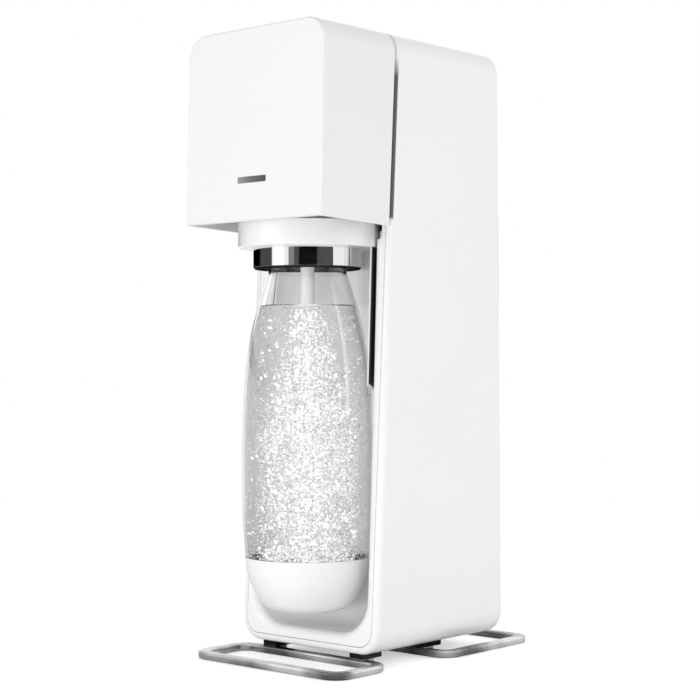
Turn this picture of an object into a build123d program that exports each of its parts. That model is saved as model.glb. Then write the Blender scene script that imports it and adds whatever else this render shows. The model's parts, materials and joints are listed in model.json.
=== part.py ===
from build123d import *
import math
import os

os.makedirs("parts", exist_ok=True)

# Soda carbonator: a press-down head on a tower, with a tilting bottle holder and a gas cylinder.
# Millimetres, +Z up, front towards -Y, origin on the floor at the middle of the outline.

# Feet: two loops of steel bar on the floor
FOOT_BAR_WIDTH = 8.0
FOOT_BAR_HEIGHT = 5.0
FOOT_EDGE_R = 1.6
FOOT_CORNER_R = 14.0
FOOT_TAB_THICKNESS = 4.0
FOOT_TAB_WIDTH = 12.0
FOOT_TAB_REACH = 15.0
FOOT_TAB_INSET = 22.5
FRONT_FOOT_SIDE = 5.5
FRONT_FOOT_REACH = 43.5
FRONT_FOOT_UNDER = 10.0
REAR_FOOT_SIDE = 7.5
REAR_FOOT_REACH = 26.6
REAR_FOOT_UNDER = 73.4
FOOT_SCREW_R = 2.0
FOOT_SCREW_HEAD_R = 4.0
FOOT_SCREW_HEAD_HEIGHT = 3.0
FOOT_BOSS_R = 4.5
FOOT_BOSS_HEIGHT = 4.5

# Fits
SCREW_CLEARANCE = 0.1
RUNNING_CLEARANCE = 0.05
SEAT_GAP = 0.3
STEP_GAP = 0.2

# Bottle
BOTTLE_Y = -55.0
BOTTLE_R = 44.45
BOTTLE_HEIGHT = 246.0
BOTTLE_WALL = 1.6
MOUTH_R = 21.0
CUP_HEIGHT = 36.0
CUP_WALL = 2.0
CUP_TOP_INSET = 2.15
CUP_FLAT_R = 20.0
CUP_EDGE_R = 14.0
CUP_EDGE_TURN_DEG = 52.0
FOOT_INSET = 2.45
BELLY_RISE = 60.0
SHOULDER_INSET = 2.2
SHOULDER_DROP = 87.0
NECK_INSET = 9.1
NECK_DROP = 46.5
THROAT_SWELL = 5.0
THROAT_DROP = 16.0
LIP_SWELL = 0.5
LIP_HEIGHT = 6.0

# Bottle holder and the niche behind the bottle
SADDLE_CLEARANCE = 1.75
SADDLE_WALL = 2.4
SADDLE_SLIT = 1.9
SADDLE_HEIGHT = 99.0
SADDLE_CORNER_R = 16.0
SADDLE_FRONT_INSET = 0.6
NICHE_WALL = 2.5
NICHE_CORNER_R = 24.0
NICHE_EDGE_R = 6.0
NICHE_FLOOR_RISE = 12.5
BOTTLE_ROOM = 13.5
NECK_GRIP = 16.0
RING_CLEARANCE = 3.5
RING_WALL = 7.3
RING_CHAMFER = 1.2
RING_SEAT = 2.0
COLLAR_HEIGHT = 17.0
COLLAR_WALL = 2.5
COLLAR_FLOOR = 3.0
COLLAR_BORE_ROOM = 4.0
COLLAR_OVERLAP = 0.8
COLLAR_EDGE_R = 1.2
COLLAR_SIDE_GAP = 3.5
COLLAR_BACK_GAP = 1.1
PIVOT_RISE = 4.0
PIVOT_BEHIND_BOTTLE = 6.0
PIVOT_R = 2.5
PIVOT_HEAD_R = 4.5
PIVOT_HEAD = 1.5
EAR_R = 8.0
EAR_GAP = 0.4
EAR_THICKNESS = 5.0
ARM_GAP = 0.5
ARM_THICKNESS = 4.0
ARM_ROOM = 2.0
ARM_END_R = 9.0
SEAL_BORE_R = 10.0
SEAL_THICKNESS = 3.7
NOZZLE_R = 4.75
NOZZLE_BORE_R = 2.0
NOZZLE_DEPTH = 44.0
NOZZLE_SOCKET = 7.0
MANIFOLD_OVERLAP = 3.0
MANIFOLD_FLANGE = 3.0
MANIFOLD_HUB_R = 12.0
GAS_PIPE_R = 4.0

# Widths, stacked outwards from the bottle
RING_BORE_R = MOUTH_R + THROAT_SWELL + RING_CLEARANCE
RING_R = RING_BORE_R + RING_WALL
COLLAR_BORE_R = MOUTH_R + COLLAR_BORE_ROOM
MANIFOLD_FLANGE_R = COLLAR_BORE_R + MANIFOLD_OVERLAP
SADDLE_R = BOTTLE_R + SADDLE_CLEARANCE
EAR_STACK = EAR_THICKNESS + ARM_GAP + ARM_THICKNESS + ARM_ROOM + COLLAR_WALL
COLLAR_R = max(SADDLE_R + COLLAR_OVERLAP, MANIFOLD_FLANGE_R + EAR_GAP + EAR_STACK)
EAR_X = COLLAR_R - EAR_STACK
EAR_END_X = EAR_X + EAR_THICKNESS
ARM_X = EAR_END_X + ARM_GAP
ARM_END_X = ARM_X + ARM_THICKNESS
NICHE_R = max(SADDLE_R + SADDLE_WALL + SADDLE_SLIT, COLLAR_R + COLLAR_SIDE_GAP)

# Heights, stacked from the floor
BODY_BASE_Z = FOOT_BAR_HEIGHT + FOOT_TAB_THICKNESS
NICHE_FLOOR_Z = BODY_BASE_Z + NICHE_FLOOR_RISE
BOTTLE_BASE_Z = NICHE_FLOOR_Z + BOTTLE_ROOM
MOUTH_Z = BOTTLE_BASE_Z + BOTTLE_HEIGHT
RING_Z = MOUTH_Z - NECK_GRIP
COLLAR_Z = MOUTH_Z - RING_SEAT
COLLAR_TOP_Z = COLLAR_Z + COLLAR_HEIGHT
PIVOT_Z = COLLAR_TOP_Z + PIVOT_RISE
PIVOT_Y = BOTTLE_Y + PIVOT_BEHIND_BOTTLE

# Inner frame and the guides of the head
DECK_RISE = 30.0
DECK_THICKNESS = 5.0
DECK_GAP = 0.5
DECK_FRONT_MARGIN = 10.0
DECK_REAR_MARGIN = 4.0
DECK_Z = PIVOT_Z + DECK_RISE
DECK_TOP_Z = DECK_Z + DECK_THICKNESS
LEDGE_WIDTH = 6.0
LEDGE_HEIGHT = 8.0
LEDGE_INSET = 6.0
DECK_SCREW_FRONT_INSET = 20.0
DECK_SCREW_REAR_INSET = 14.0
DECK_SCREW_R = 1.6
DECK_SCREW_HEAD_R = 2.6
DECK_SCREW_INSET = 3.2
SCREW_HEAD_HEIGHT = 2.2
ROD_INSET = 26.5
ROD_FORWARD = 7.5
ROD_R = 3.0
SPRING_LENGTH = 37.0
SPRING_COIL_R = 5.2
SPRING_WIRE_R = 0.7
SPRING_TURNS = 6
BUSH_R = 7.0
BUSH_LENGTH = 32.0
PRESS_TRAVEL = 8.0
UPRIGHT_GAP = 3.0
UPRIGHT_WIDTH = 6.0
BRIDGE_DEPTH = 12.0
BRIDGE_THICKNESS = 5.0
BRIDGE_SCREW_R = 1.5
BRIDGE_SCREW_LENGTH = 14.0
TOP_ROOM = 13.5
BUSH_Z = DECK_TOP_Z + SPRING_LENGTH
BUSH_TOP_Z = BUSH_Z + BUSH_LENGTH
BRIDGE_Z = BUSH_TOP_Z + SEAT_GAP
BRIDGE_TOP_Z = BRIDGE_Z + BRIDGE_THICKNESS

# Tower casing
NICHE_SIDE = 12.0
BODY_WIDTH = 2 * (NICHE_R + NICHE_SIDE)
BODY_TOP_Z = BRIDGE_TOP_Z + TOP_ROOM
BODY_CORNER_R = 16.0
WALL = 2.5
NICHE_OVERHANG = 1.5
FRONT_Y = BOTTLE_Y - NICHE_OVERHANG
FRONT_LEAN_DEG = 3.15
FRONT_EDGE_R = 4.0
RIM_WIDTH = 5.0
LIP_DEPTH = 4.0
PANEL_GAP = 0.4
PANEL_FLANGE = 2.0
PANEL_OPENING_SIDE = 8.5
PANEL_OPENING_RISE = 5.0
PANEL_OPENING_ROOM = 2.5
PANEL_OPENING_R = 3.0
NICHE_TOP_RISE = 11.0
CYLINDER_R = 30.0
CYLINDER_GAP = 6.0
CYLINDER_Y = BOTTLE_Y + NICHE_R + NICHE_WALL + CYLINDER_GAP + CYLINDER_R
REAR_ROOM = 18.9
REAR_Y = CYLINDER_Y + CYLINDER_R + REAR_ROOM
REAR_LEAN_DEG = 0.63
REAR_EDGE_R = 3.0
SILL_RISE = 20.4
REACH = 2 * BODY_WIDTH

# Rear cover and its sliding button
COVER_GAP = 0.5
COVER_WALL = 2.5
HOOK_X = 25.0
HOOK_WIDTH = 15.0
HOOK_DROP = 5.5
HOOK_RISE = 4.0
HOOK_THICKNESS = 2.4
BUTTON_DROP = 27.8
BUTTON_HEIGHT = 11.0
BUTTON_HALF_WIDTH = 10.0
BUTTON_PROUD = 0.8
BUTTON_RIBS = 4
BUTTON_RIB_HEIGHT = 0.9
BUTTON_TRAVEL = 3.0
SLIDER_MARGIN = 3.5
SLIDER_TAIL = 9.0
SLIDER_THICKNESS = 2.2
NOSE_HALF_WIDTH = 5.0
NOSE_ENTRY = 2.0
RAIL_WIDTH = 2.2
RAIL_LIP = 2.3
RAIL_LIP_THICKNESS = 1.4
BUTTON_SPRING_LENGTH = 15.0
BUTTON_SPRING_COIL_R = 2.6
BUTTON_SPRING_WIRE_R = 0.35
BUTTON_SPRING_TURNS = 7
SHELF_THICKNESS = 3.0
SHELF_HALF_WIDTH = 5.0

# Press head
HEAD_FRONT_ROOM = 7.5
HEAD_FRONT_Y = BOTTLE_Y - COLLAR_R - HEAD_FRONT_ROOM
HEAD_LEAN_DEG = 1.3
HEAD_EDGE_R = 1.8
COLLAR_SHOW = 15.8
HEAD_RIM_Z = COLLAR_Z + COLLAR_SHOW
HEAD_RIM_SLOPE_DEG = 2.3
SEAM_GAP = 3.0
CARRIAGE_PLATE = 3.0
CARRIAGE_ROOM = 2.0
CARRIAGE_Z = DECK_TOP_Z + PRESS_TRAVEL + CARRIAGE_ROOM
CARRIAGE_FIT = 0.2
BEAM_WIDTH = 14.0
PAD_HALF_WIDTH = 8.0
PAD_THICKNESS = 6.0
PAD_BELOW_BUSH_TOP = 7.4
PAD_OVERLAP = 7.0
RIB_WIDTH = 7.0
RIB_DEPTH = 10.0
RIB_MARGIN = 5.0
CARRIAGE_SCREW_R = 1.6
CARRIAGE_SCREW_HEAD_R = 2.8
CARRIAGE_SCREW_LENGTH = 8.0
CARRIAGE_SCREW_INSET = 9.5
INDICATOR_RISE = 27.2
INDICATOR_WIDTH = 26.0
INDICATOR_HEIGHT = 4.2
INDICATOR_CORNER_R = 0.8
INDICATOR_GAP = 0.15
INDICATOR_DEPTH = 4.0
BOARD_WIDTH = 36.0
BOARD_HEIGHT = 38.0
BOARD_BELOW_LENS = 4.0
BOARD_THICKNESS = 1.6
BOARD_POST_R = 2.0
BOARD_POST_X = 15.0
CELL_R = 10.0
CELL_THICKNESS = 3.2
CELL_RISE = 20.0

# Valve, lever and gas cylinder
VALVE_R = 17.0
VALVE_HEIGHT = 37.0
VALVE_FLANGE_HALF_DEPTH = 12.0
VALVE_FLANGE = 5.0
VALVE_SCREW_GAP = 5.0
VALVE_SCREW_R = 1.8
SOCKET_R = 10.0
SOCKET_DEPTH = 17.0
WASHER_THICKNESS = 1.7
WASHER_BORE_R = 4.0
PIN_R = 2.0
PIN_COLLAR_R = 3.8
PIN_COLLAR = 2.0
PIN_COLLAR_DROP = 3.0
PIN_TIP_GAP = 1.0
VALVE_SPRING_POCKET = 8.0
VALVE_SPRING_COIL_R = 3.3
VALVE_SPRING_WIRE_R = 0.4
VALVE_SPRING_TURNS = 6
OUTLET_RISE = 23.0
OUTLET_R = 5.0
OUTLET_LENGTH = 7.0
RELIEF_SEAT = 1.5
RELIEF_R = 5.0
RELIEF_LENGTH = 13.0
RELIEF_HEX_R = 6.5
RELIEF_HEX = 4.0
LEVER_WIDTH = 10.0
LEVER_THICKNESS = 8.0
LEVER_NOSE_REACH = 8.0
LEVER_PIVOT_BEHIND_PIN = 24.0
LEVER_HUB_R = 6.5
LEVER_PIN_R = 2.5
LEVER_CLIP_R = 4.0
LEVER_CLIP = 1.2
LEVER_EAR_GAP = 3.0
LEVER_EAR = 4.0
LEVER_EAR_HALF_DEPTH = 6.0
CYLINDER_ROOM = 18.5
CYLINDER_WALL = 3.0
CYLINDER_BASE_R = 8.0
CYLINDER_SHOULDER = 27.0
CYLINDER_NECK = 6.0
CYLINDER_NECK_R = 14.0
CYLINDER_NECK_BORE_R = 9.0
VALVE_HEX_R = 13.0
VALVE_HEX_HEIGHT = 16.0
THREAD_LENGTH = 16.0
VALVE_PLUG = 14.0
THREAD_GAP = 0.3
DECK_HOLE_ROOM = 4.0
HOSE_R = 2.5
HOSE_BORE_R = 1.5
HOSE_GAP = 1.5
HOSE_FIRST_BEND_R = 10.0
HOSE_BEND_R = 20.0
HOSE_DECK_HOLE_R = 4.5
ELBOW_R = 3.8
ELBOW_WIDTH = 8.4
ELBOW_BOSS_R = 3.4
ELBOW_BOSS = 9.0

# Places worked out from the sizes above
HALF_WIDTH = BODY_WIDTH / 2
INNER_HALF_WIDTH = HALF_WIDTH - WALL
FLOOR_Z = BODY_BASE_Z + WALL
BASE_TOP_Z = BODY_BASE_Z + BODY_CORNER_R
SILL_Z = BODY_BASE_Z + SILL_RISE
BUTTON_Z = BODY_TOP_Z - BUTTON_DROP
FOOT_TAB_X = HALF_WIDTH - FOOT_TAB_INSET
FRONT_FOOT_HALF_WIDTH = HALF_WIDTH + FRONT_FOOT_SIDE
FRONT_FOOT_Y = (FRONT_Y - FRONT_FOOT_REACH, FRONT_Y + FRONT_FOOT_UNDER)
REAR_FOOT_HALF_WIDTH = HALF_WIDTH + REAR_FOOT_SIDE
REAR_FOOT_Y = (REAR_Y - REAR_FOOT_UNDER, REAR_Y + REAR_FOOT_REACH)
ROD_X = HALF_WIDTH - ROD_INSET
ROD_Y = BOTTLE_Y + NICHE_R - ROD_FORWARD
UPRIGHT_X = ROD_X + BUSH_R + UPRIGHT_GAP
UPRIGHT_END_X = UPRIGHT_X + UPRIGHT_WIDTH
BRIDGE_SCREW_X = (UPRIGHT_X + UPRIGHT_END_X) / 2
BRIDGE_Y = (ROD_Y - BRIDGE_DEPTH / 2, ROD_Y + BRIDGE_DEPTH / 2)
HOSE_X = ARM_END_X + ELBOW_WIDTH / 2
HOSE_Y = BRIDGE_Y[1] + HOSE_GAP + HOSE_R
LEVER_NOSE_Y = ROD_Y - LEVER_NOSE_REACH
PAD_END_Y = LEVER_NOSE_Y + PAD_OVERLAP
PAD_Z = BUSH_TOP_Z - PAD_BELOW_BUSH_TOP
LEVER_TOP_Z = PAD_Z - SEAT_GAP
LEVER_Z = LEVER_TOP_Z - LEVER_THICKNESS
LEVER_PIVOT_Z = LEVER_TOP_Z - LEVER_THICKNESS / 2
LEVER_PIVOT_Y = CYLINDER_Y + LEVER_PIVOT_BEHIND_PIN
DECK_Y = (ROD_Y - DECK_FRONT_MARGIN, LEVER_PIVOT_Y + LEVER_EAR_HALF_DEPTH + DECK_REAR_MARGIN)
LEDGE_Y = (DECK_Y[0] + LEDGE_INSET, DECK_Y[1] - LEDGE_INSET)
DECK_SCREW_Y = (DECK_Y[0] + DECK_SCREW_FRONT_INSET, DECK_Y[1] - DECK_SCREW_REAR_INSET)
VALVE_SCREW_X = VALVE_R + VALVE_SCREW_GAP
VALVE_FLANGE_HALF_WIDTH = VALVE_SCREW_X + VALVE_SCREW_GAP
RELIEF_X = VALVE_R - RELIEF_SEAT
SOCKET_TOP_Z = DECK_TOP_Z + SOCKET_DEPTH
VALVE_TOP_Z = DECK_TOP_Z + VALVE_HEIGHT
CYLINDER_TOP_Z = SOCKET_TOP_Z - WASHER_THICKNESS - THREAD_GAP
CYLINDER_BASE_Z = FLOOR_Z + CYLINDER_ROOM
OUTLET_Z = DECK_TOP_Z + OUTLET_RISE
OUTLET_Y = CYLINDER_Y - VALVE_R - OUTLET_LENGTH
PIN_TOP_Z = LEVER_Z - SEAT_GAP
PIN_COLLAR_Z = PIN_TOP_Z - PIN_COLLAR_DROP - PIN_COLLAR


def block(x, y, z):
    """Box between the two limits given for each axis."""
    size = [high - low for low, high in (x, y, z)]
    middle = [(low + high) / 2 for low, high in (x, y, z)]
    return Pos(*middle) * Box(*size)


def rod_x(x, y, z, radius):
    return Pos((x[0] + x[1]) / 2, y, z) * Rot(0, 90, 0) * Cylinder(radius, x[1] - x[0])


def rod_y(x, y, z, radius):
    return Pos(x, (y[0] + y[1]) / 2, z) * Rot(90, 0, 0) * Cylinder(radius, y[1] - y[0])


def rod_z(x, y, z, radius):
    return Pos(x, y, (z[0] + z[1]) / 2) * Cylinder(radius, z[1] - z[0])


def facing_front(y):
    """Upright plane at y that looks to the front, with its own y axis along +Z."""
    return Plane((0, y, 0), x_dir=(1, 0, 0), z_dir=(0, -1, 0))


def front_plane(depth):
    """Leaning front of the tower, moved into the tower by depth, looking outwards."""
    lean = math.radians(FRONT_LEAN_DEG)
    out = Vector(0, -math.cos(lean), math.sin(lean))
    return Plane(Vector(0, FRONT_Y, 0) - out * depth, x_dir=(1, 0, 0), z_dir=out)


def rear_plane(depth):
    """Leaning rear of the tower, moved into the tower by depth, looking outwards."""
    lean = math.radians(REAR_LEAN_DEG)
    out = Vector(0, math.cos(lean), math.sin(lean))
    return Plane(Vector(0, REAR_Y, 0) - out * depth, x_dir=(-1, 0, 0), z_dir=out)


def head_plane(depth):
    """Leaning front of the press head, moved into the head by depth, looking outwards."""
    lean = math.radians(HEAD_LEAN_DEG)
    out = Vector(0, -math.cos(lean), math.sin(lean))
    start = Vector(0, HEAD_FRONT_Y, HEAD_RIM_Z)
    return Plane(start - out * depth, x_dir=(1, 0, 0), z_dir=out)


def between(shape, plane, outer, inner):
    """Slice of a shape between two depths under one of the leaning planes."""
    shape = split(shape, bisect_by=plane(outer), keep=Keep.BOTTOM)
    return split(shape, bisect_by=plane(inner), keep=Keep.TOP)


def tower_prism(inset, low):
    """Rounded upright section of the tower, drawn in all round by inset, from height low upwards."""
    high = BODY_TOP_Z - inset
    outline = RectangleRounded(BODY_WIDTH - 2 * inset, high - low, BODY_CORNER_R - inset)
    return extrude(facing_front(REACH) * Pos(0, (low + high) / 2) * outline, amount=2 * REACH)


def tower_block(inset, front_depth, rear_depth):
    body = tower_prism(inset, BODY_BASE_Z + inset)
    body = split(body, bisect_by=front_plane(front_depth), keep=Keep.BOTTOM)
    return split(body, bisect_by=rear_plane(rear_depth), keep=Keep.BOTTOM)


def foot_screw_places():
    front = FRONT_FOOT_Y[1] + FOOT_TAB_REACH / 2
    rear = REAR_FOOT_Y[0] + FOOT_BAR_WIDTH + FOOT_TAB_REACH / 2
    return [(side * FOOT_TAB_X, y) for side in (-1, 1) for y in (front, rear)]


def deck_screw_places():
    x = INNER_HALF_WIDTH - DECK_GAP - DECK_SCREW_INSET
    return [(side * x, y) for side in (-1, 1) for y in DECK_SCREW_Y]


def niche_solid(wall, top_z):
    """Upright round of the niche with its rounded foot, thickened by a wall."""
    body = rod_z(0, BOTTLE_Y, (NICHE_FLOOR_Z - wall, top_z), NICHE_R + wall)
    return fillet(body.edges().sort_by(Axis.Z)[0], NICHE_CORNER_R + wall)


def tower_casing():
    """The whole casing of the tower, open at its front and rear."""
    body = tower_block(0, 0, 0)
    body = fillet(body.faces().sort_by(Axis.Y)[0].edges(), FRONT_EDGE_R)
    body = fillet(body.faces().sort_by(Axis.Y)[-1].edges(), REAR_EDGE_R)
    body -= tower_block(WALL, LIP_DEPTH, LIP_DEPTH)
    body -= between(tower_prism(RIM_WIDTH, BODY_BASE_Z + RIM_WIDTH), front_plane, -WALL, LIP_DEPTH + WALL)
    body -= between(tower_prism(RIM_WIDTH, SILL_Z), rear_plane, -WALL, LIP_DEPTH + WALL)
    nose_x = NOSE_HALF_WIDTH + COVER_GAP
    nose_top = BODY_TOP_Z - RIM_WIDTH + NOSE_ENTRY + COVER_GAP
    body -= block((-nose_x, nose_x), (REAR_Y - 3 * LIP_DEPTH, REAR_Y + WALL), (SILL_Z + RIM_WIDTH, nose_top))
    for x, y in foot_screw_places():
        body += rod_z(x, y, (FLOOR_Z, FLOOR_Z + FOOT_BOSS_HEIGHT), FOOT_BOSS_R)
    for x, y in foot_screw_places():
        hole = (BODY_BASE_Z - WALL, FLOOR_Z + FOOT_BOSS_HEIGHT + WALL)
        body -= rod_z(x, y, hole, FOOT_SCREW_R + SCREW_CLEARANCE)
    return body


def tower_shell():
    """Casing above its rounded bottom corners."""
    return split(tower_casing(), bisect_by=Plane((0, 0, BASE_TOP_Z)), keep=Keep.TOP)


def tower_base():
    """Floor of the casing with its rounded bottom corners."""
    return split(tower_casing(), bisect_by=Plane((0, 0, BASE_TOP_Z)), keep=Keep.BOTTOM)


def deck_ledges():
    """Two rails on the tower's side walls that the deck is screwed down on."""
    ledges = []
    for side in (-1, 1):
        x = sorted((side * INNER_HALF_WIDTH, side * (INNER_HALF_WIDTH - LEDGE_WIDTH)))
        ledge = block(x, LEDGE_Y, (DECK_Z - LEDGE_HEIGHT, DECK_Z))
        for screw_x, y in deck_screw_places():
            ledge -= rod_z(screw_x, y, (DECK_Z - LEDGE_HEIGHT, DECK_Z), DECK_SCREW_R + SCREW_CLEARANCE)
        ledges.append(ledge)
    return Compound(children=ledges)


def niche_rim(panel, top_z):
    """Edges below top_z where the niche opens through the panel's front face."""
    plane = front_plane(0)
    front = panel.faces().filter_by(lambda face: abs(plane.to_local_coords(face.center()).Z) < STEP_GAP)
    inside = [edge for edge in front.edges() if abs(edge.center().X) < NICHE_R + STEP_GAP]
    return [edge for edge in inside if NICHE_FLOOR_Z - STEP_GAP < edge.center().Z < top_z]


def front_panel():
    inset = RIM_WIDTH + PANEL_GAP
    panel = between(tower_prism(inset, BODY_BASE_Z + inset), front_plane, 0, LIP_DEPTH)
    flange_inset = WALL + STEP_GAP
    flange_prism = tower_prism(flange_inset, BODY_BASE_Z + flange_inset)
    panel += between(flange_prism, front_plane, LIP_DEPTH, LIP_DEPTH + PANEL_FLANGE)
    niche_top = COLLAR_Z + NICHE_TOP_RISE
    back = niche_solid(NICHE_WALL, niche_top)
    panel += split(back, bisect_by=front_plane(LIP_DEPTH / 2), keep=Keep.BOTTOM)
    panel -= niche_solid(0, niche_top)
    panel = fillet(niche_rim(panel, niche_top - STEP_GAP), NICHE_EDGE_R)
    opening_low = COLLAR_Z + PANEL_OPENING_RISE
    opening_high = BRIDGE_TOP_Z + PANEL_OPENING_ROOM
    opening_width = 2 * (HALF_WIDTH - PANEL_OPENING_SIDE)
    outline = RectangleRounded(opening_width, opening_high - opening_low, PANEL_OPENING_R)
    opening = extrude(
        facing_front(0) * Pos(0, (opening_low + opening_high) / 2) * outline, amount=HALF_WIDTH
    )
    return panel - split(opening, bisect_by=front_plane(LIP_DEPTH + PANEL_FLANGE + WALL), keep=Keep.TOP)


def foot_loop(half_width, y, tab_y):
    depth = y[1] - y[0]
    outer = RectangleRounded(2 * half_width, depth, FOOT_CORNER_R)
    inner_r = FOOT_CORNER_R - FOOT_BAR_WIDTH
    inner = RectangleRounded(2 * (half_width - FOOT_BAR_WIDTH), depth - 2 * FOOT_BAR_WIDTH, inner_r)
    loop = extrude(outer - inner, amount=FOOT_BAR_HEIGHT)
    loop = fillet(loop.edges().filter_by(GeomType.LINE).filter_by(Axis.Z, reverse=True), FOOT_EDGE_R)
    loop = Pos(0, (y[0] + y[1]) / 2, 0) * loop
    for side in (-1, 1):
        x = side * FOOT_TAB_X
        tab_x = (x - FOOT_TAB_WIDTH / 2, x + FOOT_TAB_WIDTH / 2)
        loop += block(tab_x, tab_y, (FOOT_BAR_HEIGHT, BODY_BASE_Z))
    for x, y_screw in foot_screw_places():
        loop -= rod_z(x, y_screw, (0, BODY_BASE_Z), FOOT_SCREW_R + SCREW_CLEARANCE)
    return loop


def front_foot():
    tab_y = (FRONT_FOOT_Y[1] - FOOT_BAR_WIDTH / 2, FRONT_FOOT_Y[1] + FOOT_TAB_REACH)
    return foot_loop(FRONT_FOOT_HALF_WIDTH, FRONT_FOOT_Y, tab_y)


def rear_foot():
    tab_y = (REAR_FOOT_Y[0] + FOOT_BAR_WIDTH / 2, REAR_FOOT_Y[0] + FOOT_BAR_WIDTH + FOOT_TAB_REACH)
    return foot_loop(REAR_FOOT_HALF_WIDTH, REAR_FOOT_Y, tab_y)


def foot_screws():
    screws = []
    for x, y in foot_screw_places():
        head_z = (FOOT_BAR_HEIGHT - FOOT_SCREW_HEAD_HEIGHT, FOOT_BAR_HEIGHT)
        screw = rod_z(x, y, head_z, FOOT_SCREW_HEAD_R)
        screw += rod_z(x, y, (FOOT_BAR_HEIGHT, FLOOR_Z + FOOT_BOSS_HEIGHT - STEP_GAP), FOOT_SCREW_R)
        slot = Pos(x, y, head_z[0]) * extrude(RegularPolygon(FOOT_SCREW_R, 6), FOOT_SCREW_HEAD_HEIGHT / 2)
        screws.append(screw - slot)
    return Compound(children=screws)


def hull_plate(x, circles):
    """Upright plate across X whose outline wraps the given circles of (y, z, radius)."""
    edges = [edge for y, z, radius in circles for edge in (Pos(y, z) * Circle(radius)).edges()]
    return Pos(x[0], 0, 0) * extrude(Plane.YZ * make_hull(edges), amount=x[1] - x[0])


def chassis():
    half_width = INNER_HALF_WIDTH - DECK_GAP
    frame = block((-half_width, half_width), DECK_Y, (DECK_Z, DECK_TOP_Z))
    arm_root = (DECK_Y[0] + DECK_THICKNESS, DECK_Z, DECK_THICKNESS)
    for side in (-1, 1):
        arm_x = sorted((side * ARM_X, side * ARM_END_X))
        frame += hull_plate(arm_x, [(PIVOT_Y, PIVOT_Z, ARM_END_R), arm_root])
        upright_x = sorted((side * UPRIGHT_X, side * UPRIGHT_END_X))
        frame += block(upright_x, BRIDGE_Y, (DECK_TOP_Z, BRIDGE_Z))
        ear_x = LEVER_WIDTH / 2 + LEVER_EAR_GAP
        ear_y = (LEVER_PIVOT_Y - LEVER_EAR_HALF_DEPTH, LEVER_PIVOT_Y + LEVER_EAR_HALF_DEPTH)
        ear_z = (DECK_TOP_Z, LEVER_PIVOT_Z + LEVER_HUB_R)
        frame += block(sorted((side * ear_x, side * (ear_x + LEVER_EAR))), ear_y, ear_z)
    frame -= rod_x((-ARM_END_X, ARM_END_X), PIVOT_Y, PIVOT_Z, PIVOT_R + RUNNING_CLEARANCE)
    pin_reach = LEVER_WIDTH / 2 + LEVER_EAR_GAP + LEVER_EAR
    frame -= rod_x((-pin_reach, pin_reach), LEVER_PIVOT_Y, LEVER_PIVOT_Z, LEVER_PIN_R + RUNNING_CLEARANCE)
    deck_hole = (DECK_Z - WALL, DECK_TOP_Z + WALL)
    frame -= rod_z(0, CYLINDER_Y, deck_hole, VALVE_HEX_R + DECK_HOLE_ROOM)
    frame -= rod_z(-HOSE_X, HOSE_Y, deck_hole, HOSE_DECK_HOLE_R)
    for side in (-1, 1):
        frame -= rod_z(side * ROD_X, ROD_Y, deck_hole, ROD_R + RUNNING_CLEARANCE)
        frame -= rod_z(side * VALVE_SCREW_X, CYLINDER_Y, deck_hole, VALVE_SCREW_R + SCREW_CLEARANCE)
        screw_z = (BRIDGE_Z - BRIDGE_SCREW_LENGTH, BRIDGE_Z)
        frame -= rod_z(side * BRIDGE_SCREW_X, ROD_Y, screw_z, BRIDGE_SCREW_R + SCREW_CLEARANCE)
    for x, y in deck_screw_places():
        frame -= rod_z(x, y, deck_hole, DECK_SCREW_R + SCREW_CLEARANCE)
    return frame


def cap_screw(x, y, seat_z, tip_z, radius, head_r):
    """Upright screw with its head on seat_z and a cross slot in the head."""
    screw = rod_z(x, y, (tip_z, seat_z), radius)
    screw += rod_z(x, y, (seat_z, seat_z + SCREW_HEAD_HEIGHT), head_r)
    slot_z = (seat_z + SCREW_HEAD_HEIGHT / 2, seat_z + SCREW_HEAD_HEIGHT)
    for across, along in ((radius / 3, radius), (radius, radius / 3)):
        screw -= block((x - across, x + across), (y - along, y + along), slot_z)
    return screw


def chassis_screws():
    tip_z = DECK_Z - LEDGE_HEIGHT + STEP_GAP
    places = deck_screw_places()
    return Compound(children=[
        cap_screw(x, y, DECK_TOP_Z, tip_z, DECK_SCREW_R, DECK_SCREW_HEAD_R) for x, y in places
    ])


def guide_rods():
    rods = [rod_z(side * ROD_X, ROD_Y, (DECK_Z, BRIDGE_TOP_Z), ROD_R) for side in (-1, 1)]
    return Compound(children=[chamfer(rod.edges(), ROD_R / 6) for rod in rods])


def rod_bridge():
    bridge_z = (BRIDGE_Z, BRIDGE_TOP_Z)
    bridge = block((-UPRIGHT_END_X, UPRIGHT_END_X), BRIDGE_Y, bridge_z)
    for side in (-1, 1):
        bridge -= rod_z(side * ROD_X, ROD_Y, bridge_z, ROD_R + RUNNING_CLEARANCE)
        bridge -= rod_z(side * BRIDGE_SCREW_X, ROD_Y, bridge_z, BRIDGE_SCREW_R + SCREW_CLEARANCE)
    return bridge


def bridge_screws():
    tip_z = BRIDGE_Z - BRIDGE_SCREW_LENGTH + STEP_GAP
    head_r = 2 * BRIDGE_SCREW_R
    return Compound(children=[
        cap_screw(side * BRIDGE_SCREW_X, ROD_Y, BRIDGE_TOP_Z, tip_z, BRIDGE_SCREW_R, head_r)
        for side in (-1, 1)
    ])


def helix_point(radius, pitch, angle):
    return Vector(radius * math.cos(angle), radius * math.sin(angle), pitch * angle / (2 * math.pi))


def helix_tangent(radius, pitch, angle):
    climb = pitch / (2 * math.pi)
    return Vector(-radius * math.sin(angle), radius * math.cos(angle), climb).normalized()


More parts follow.
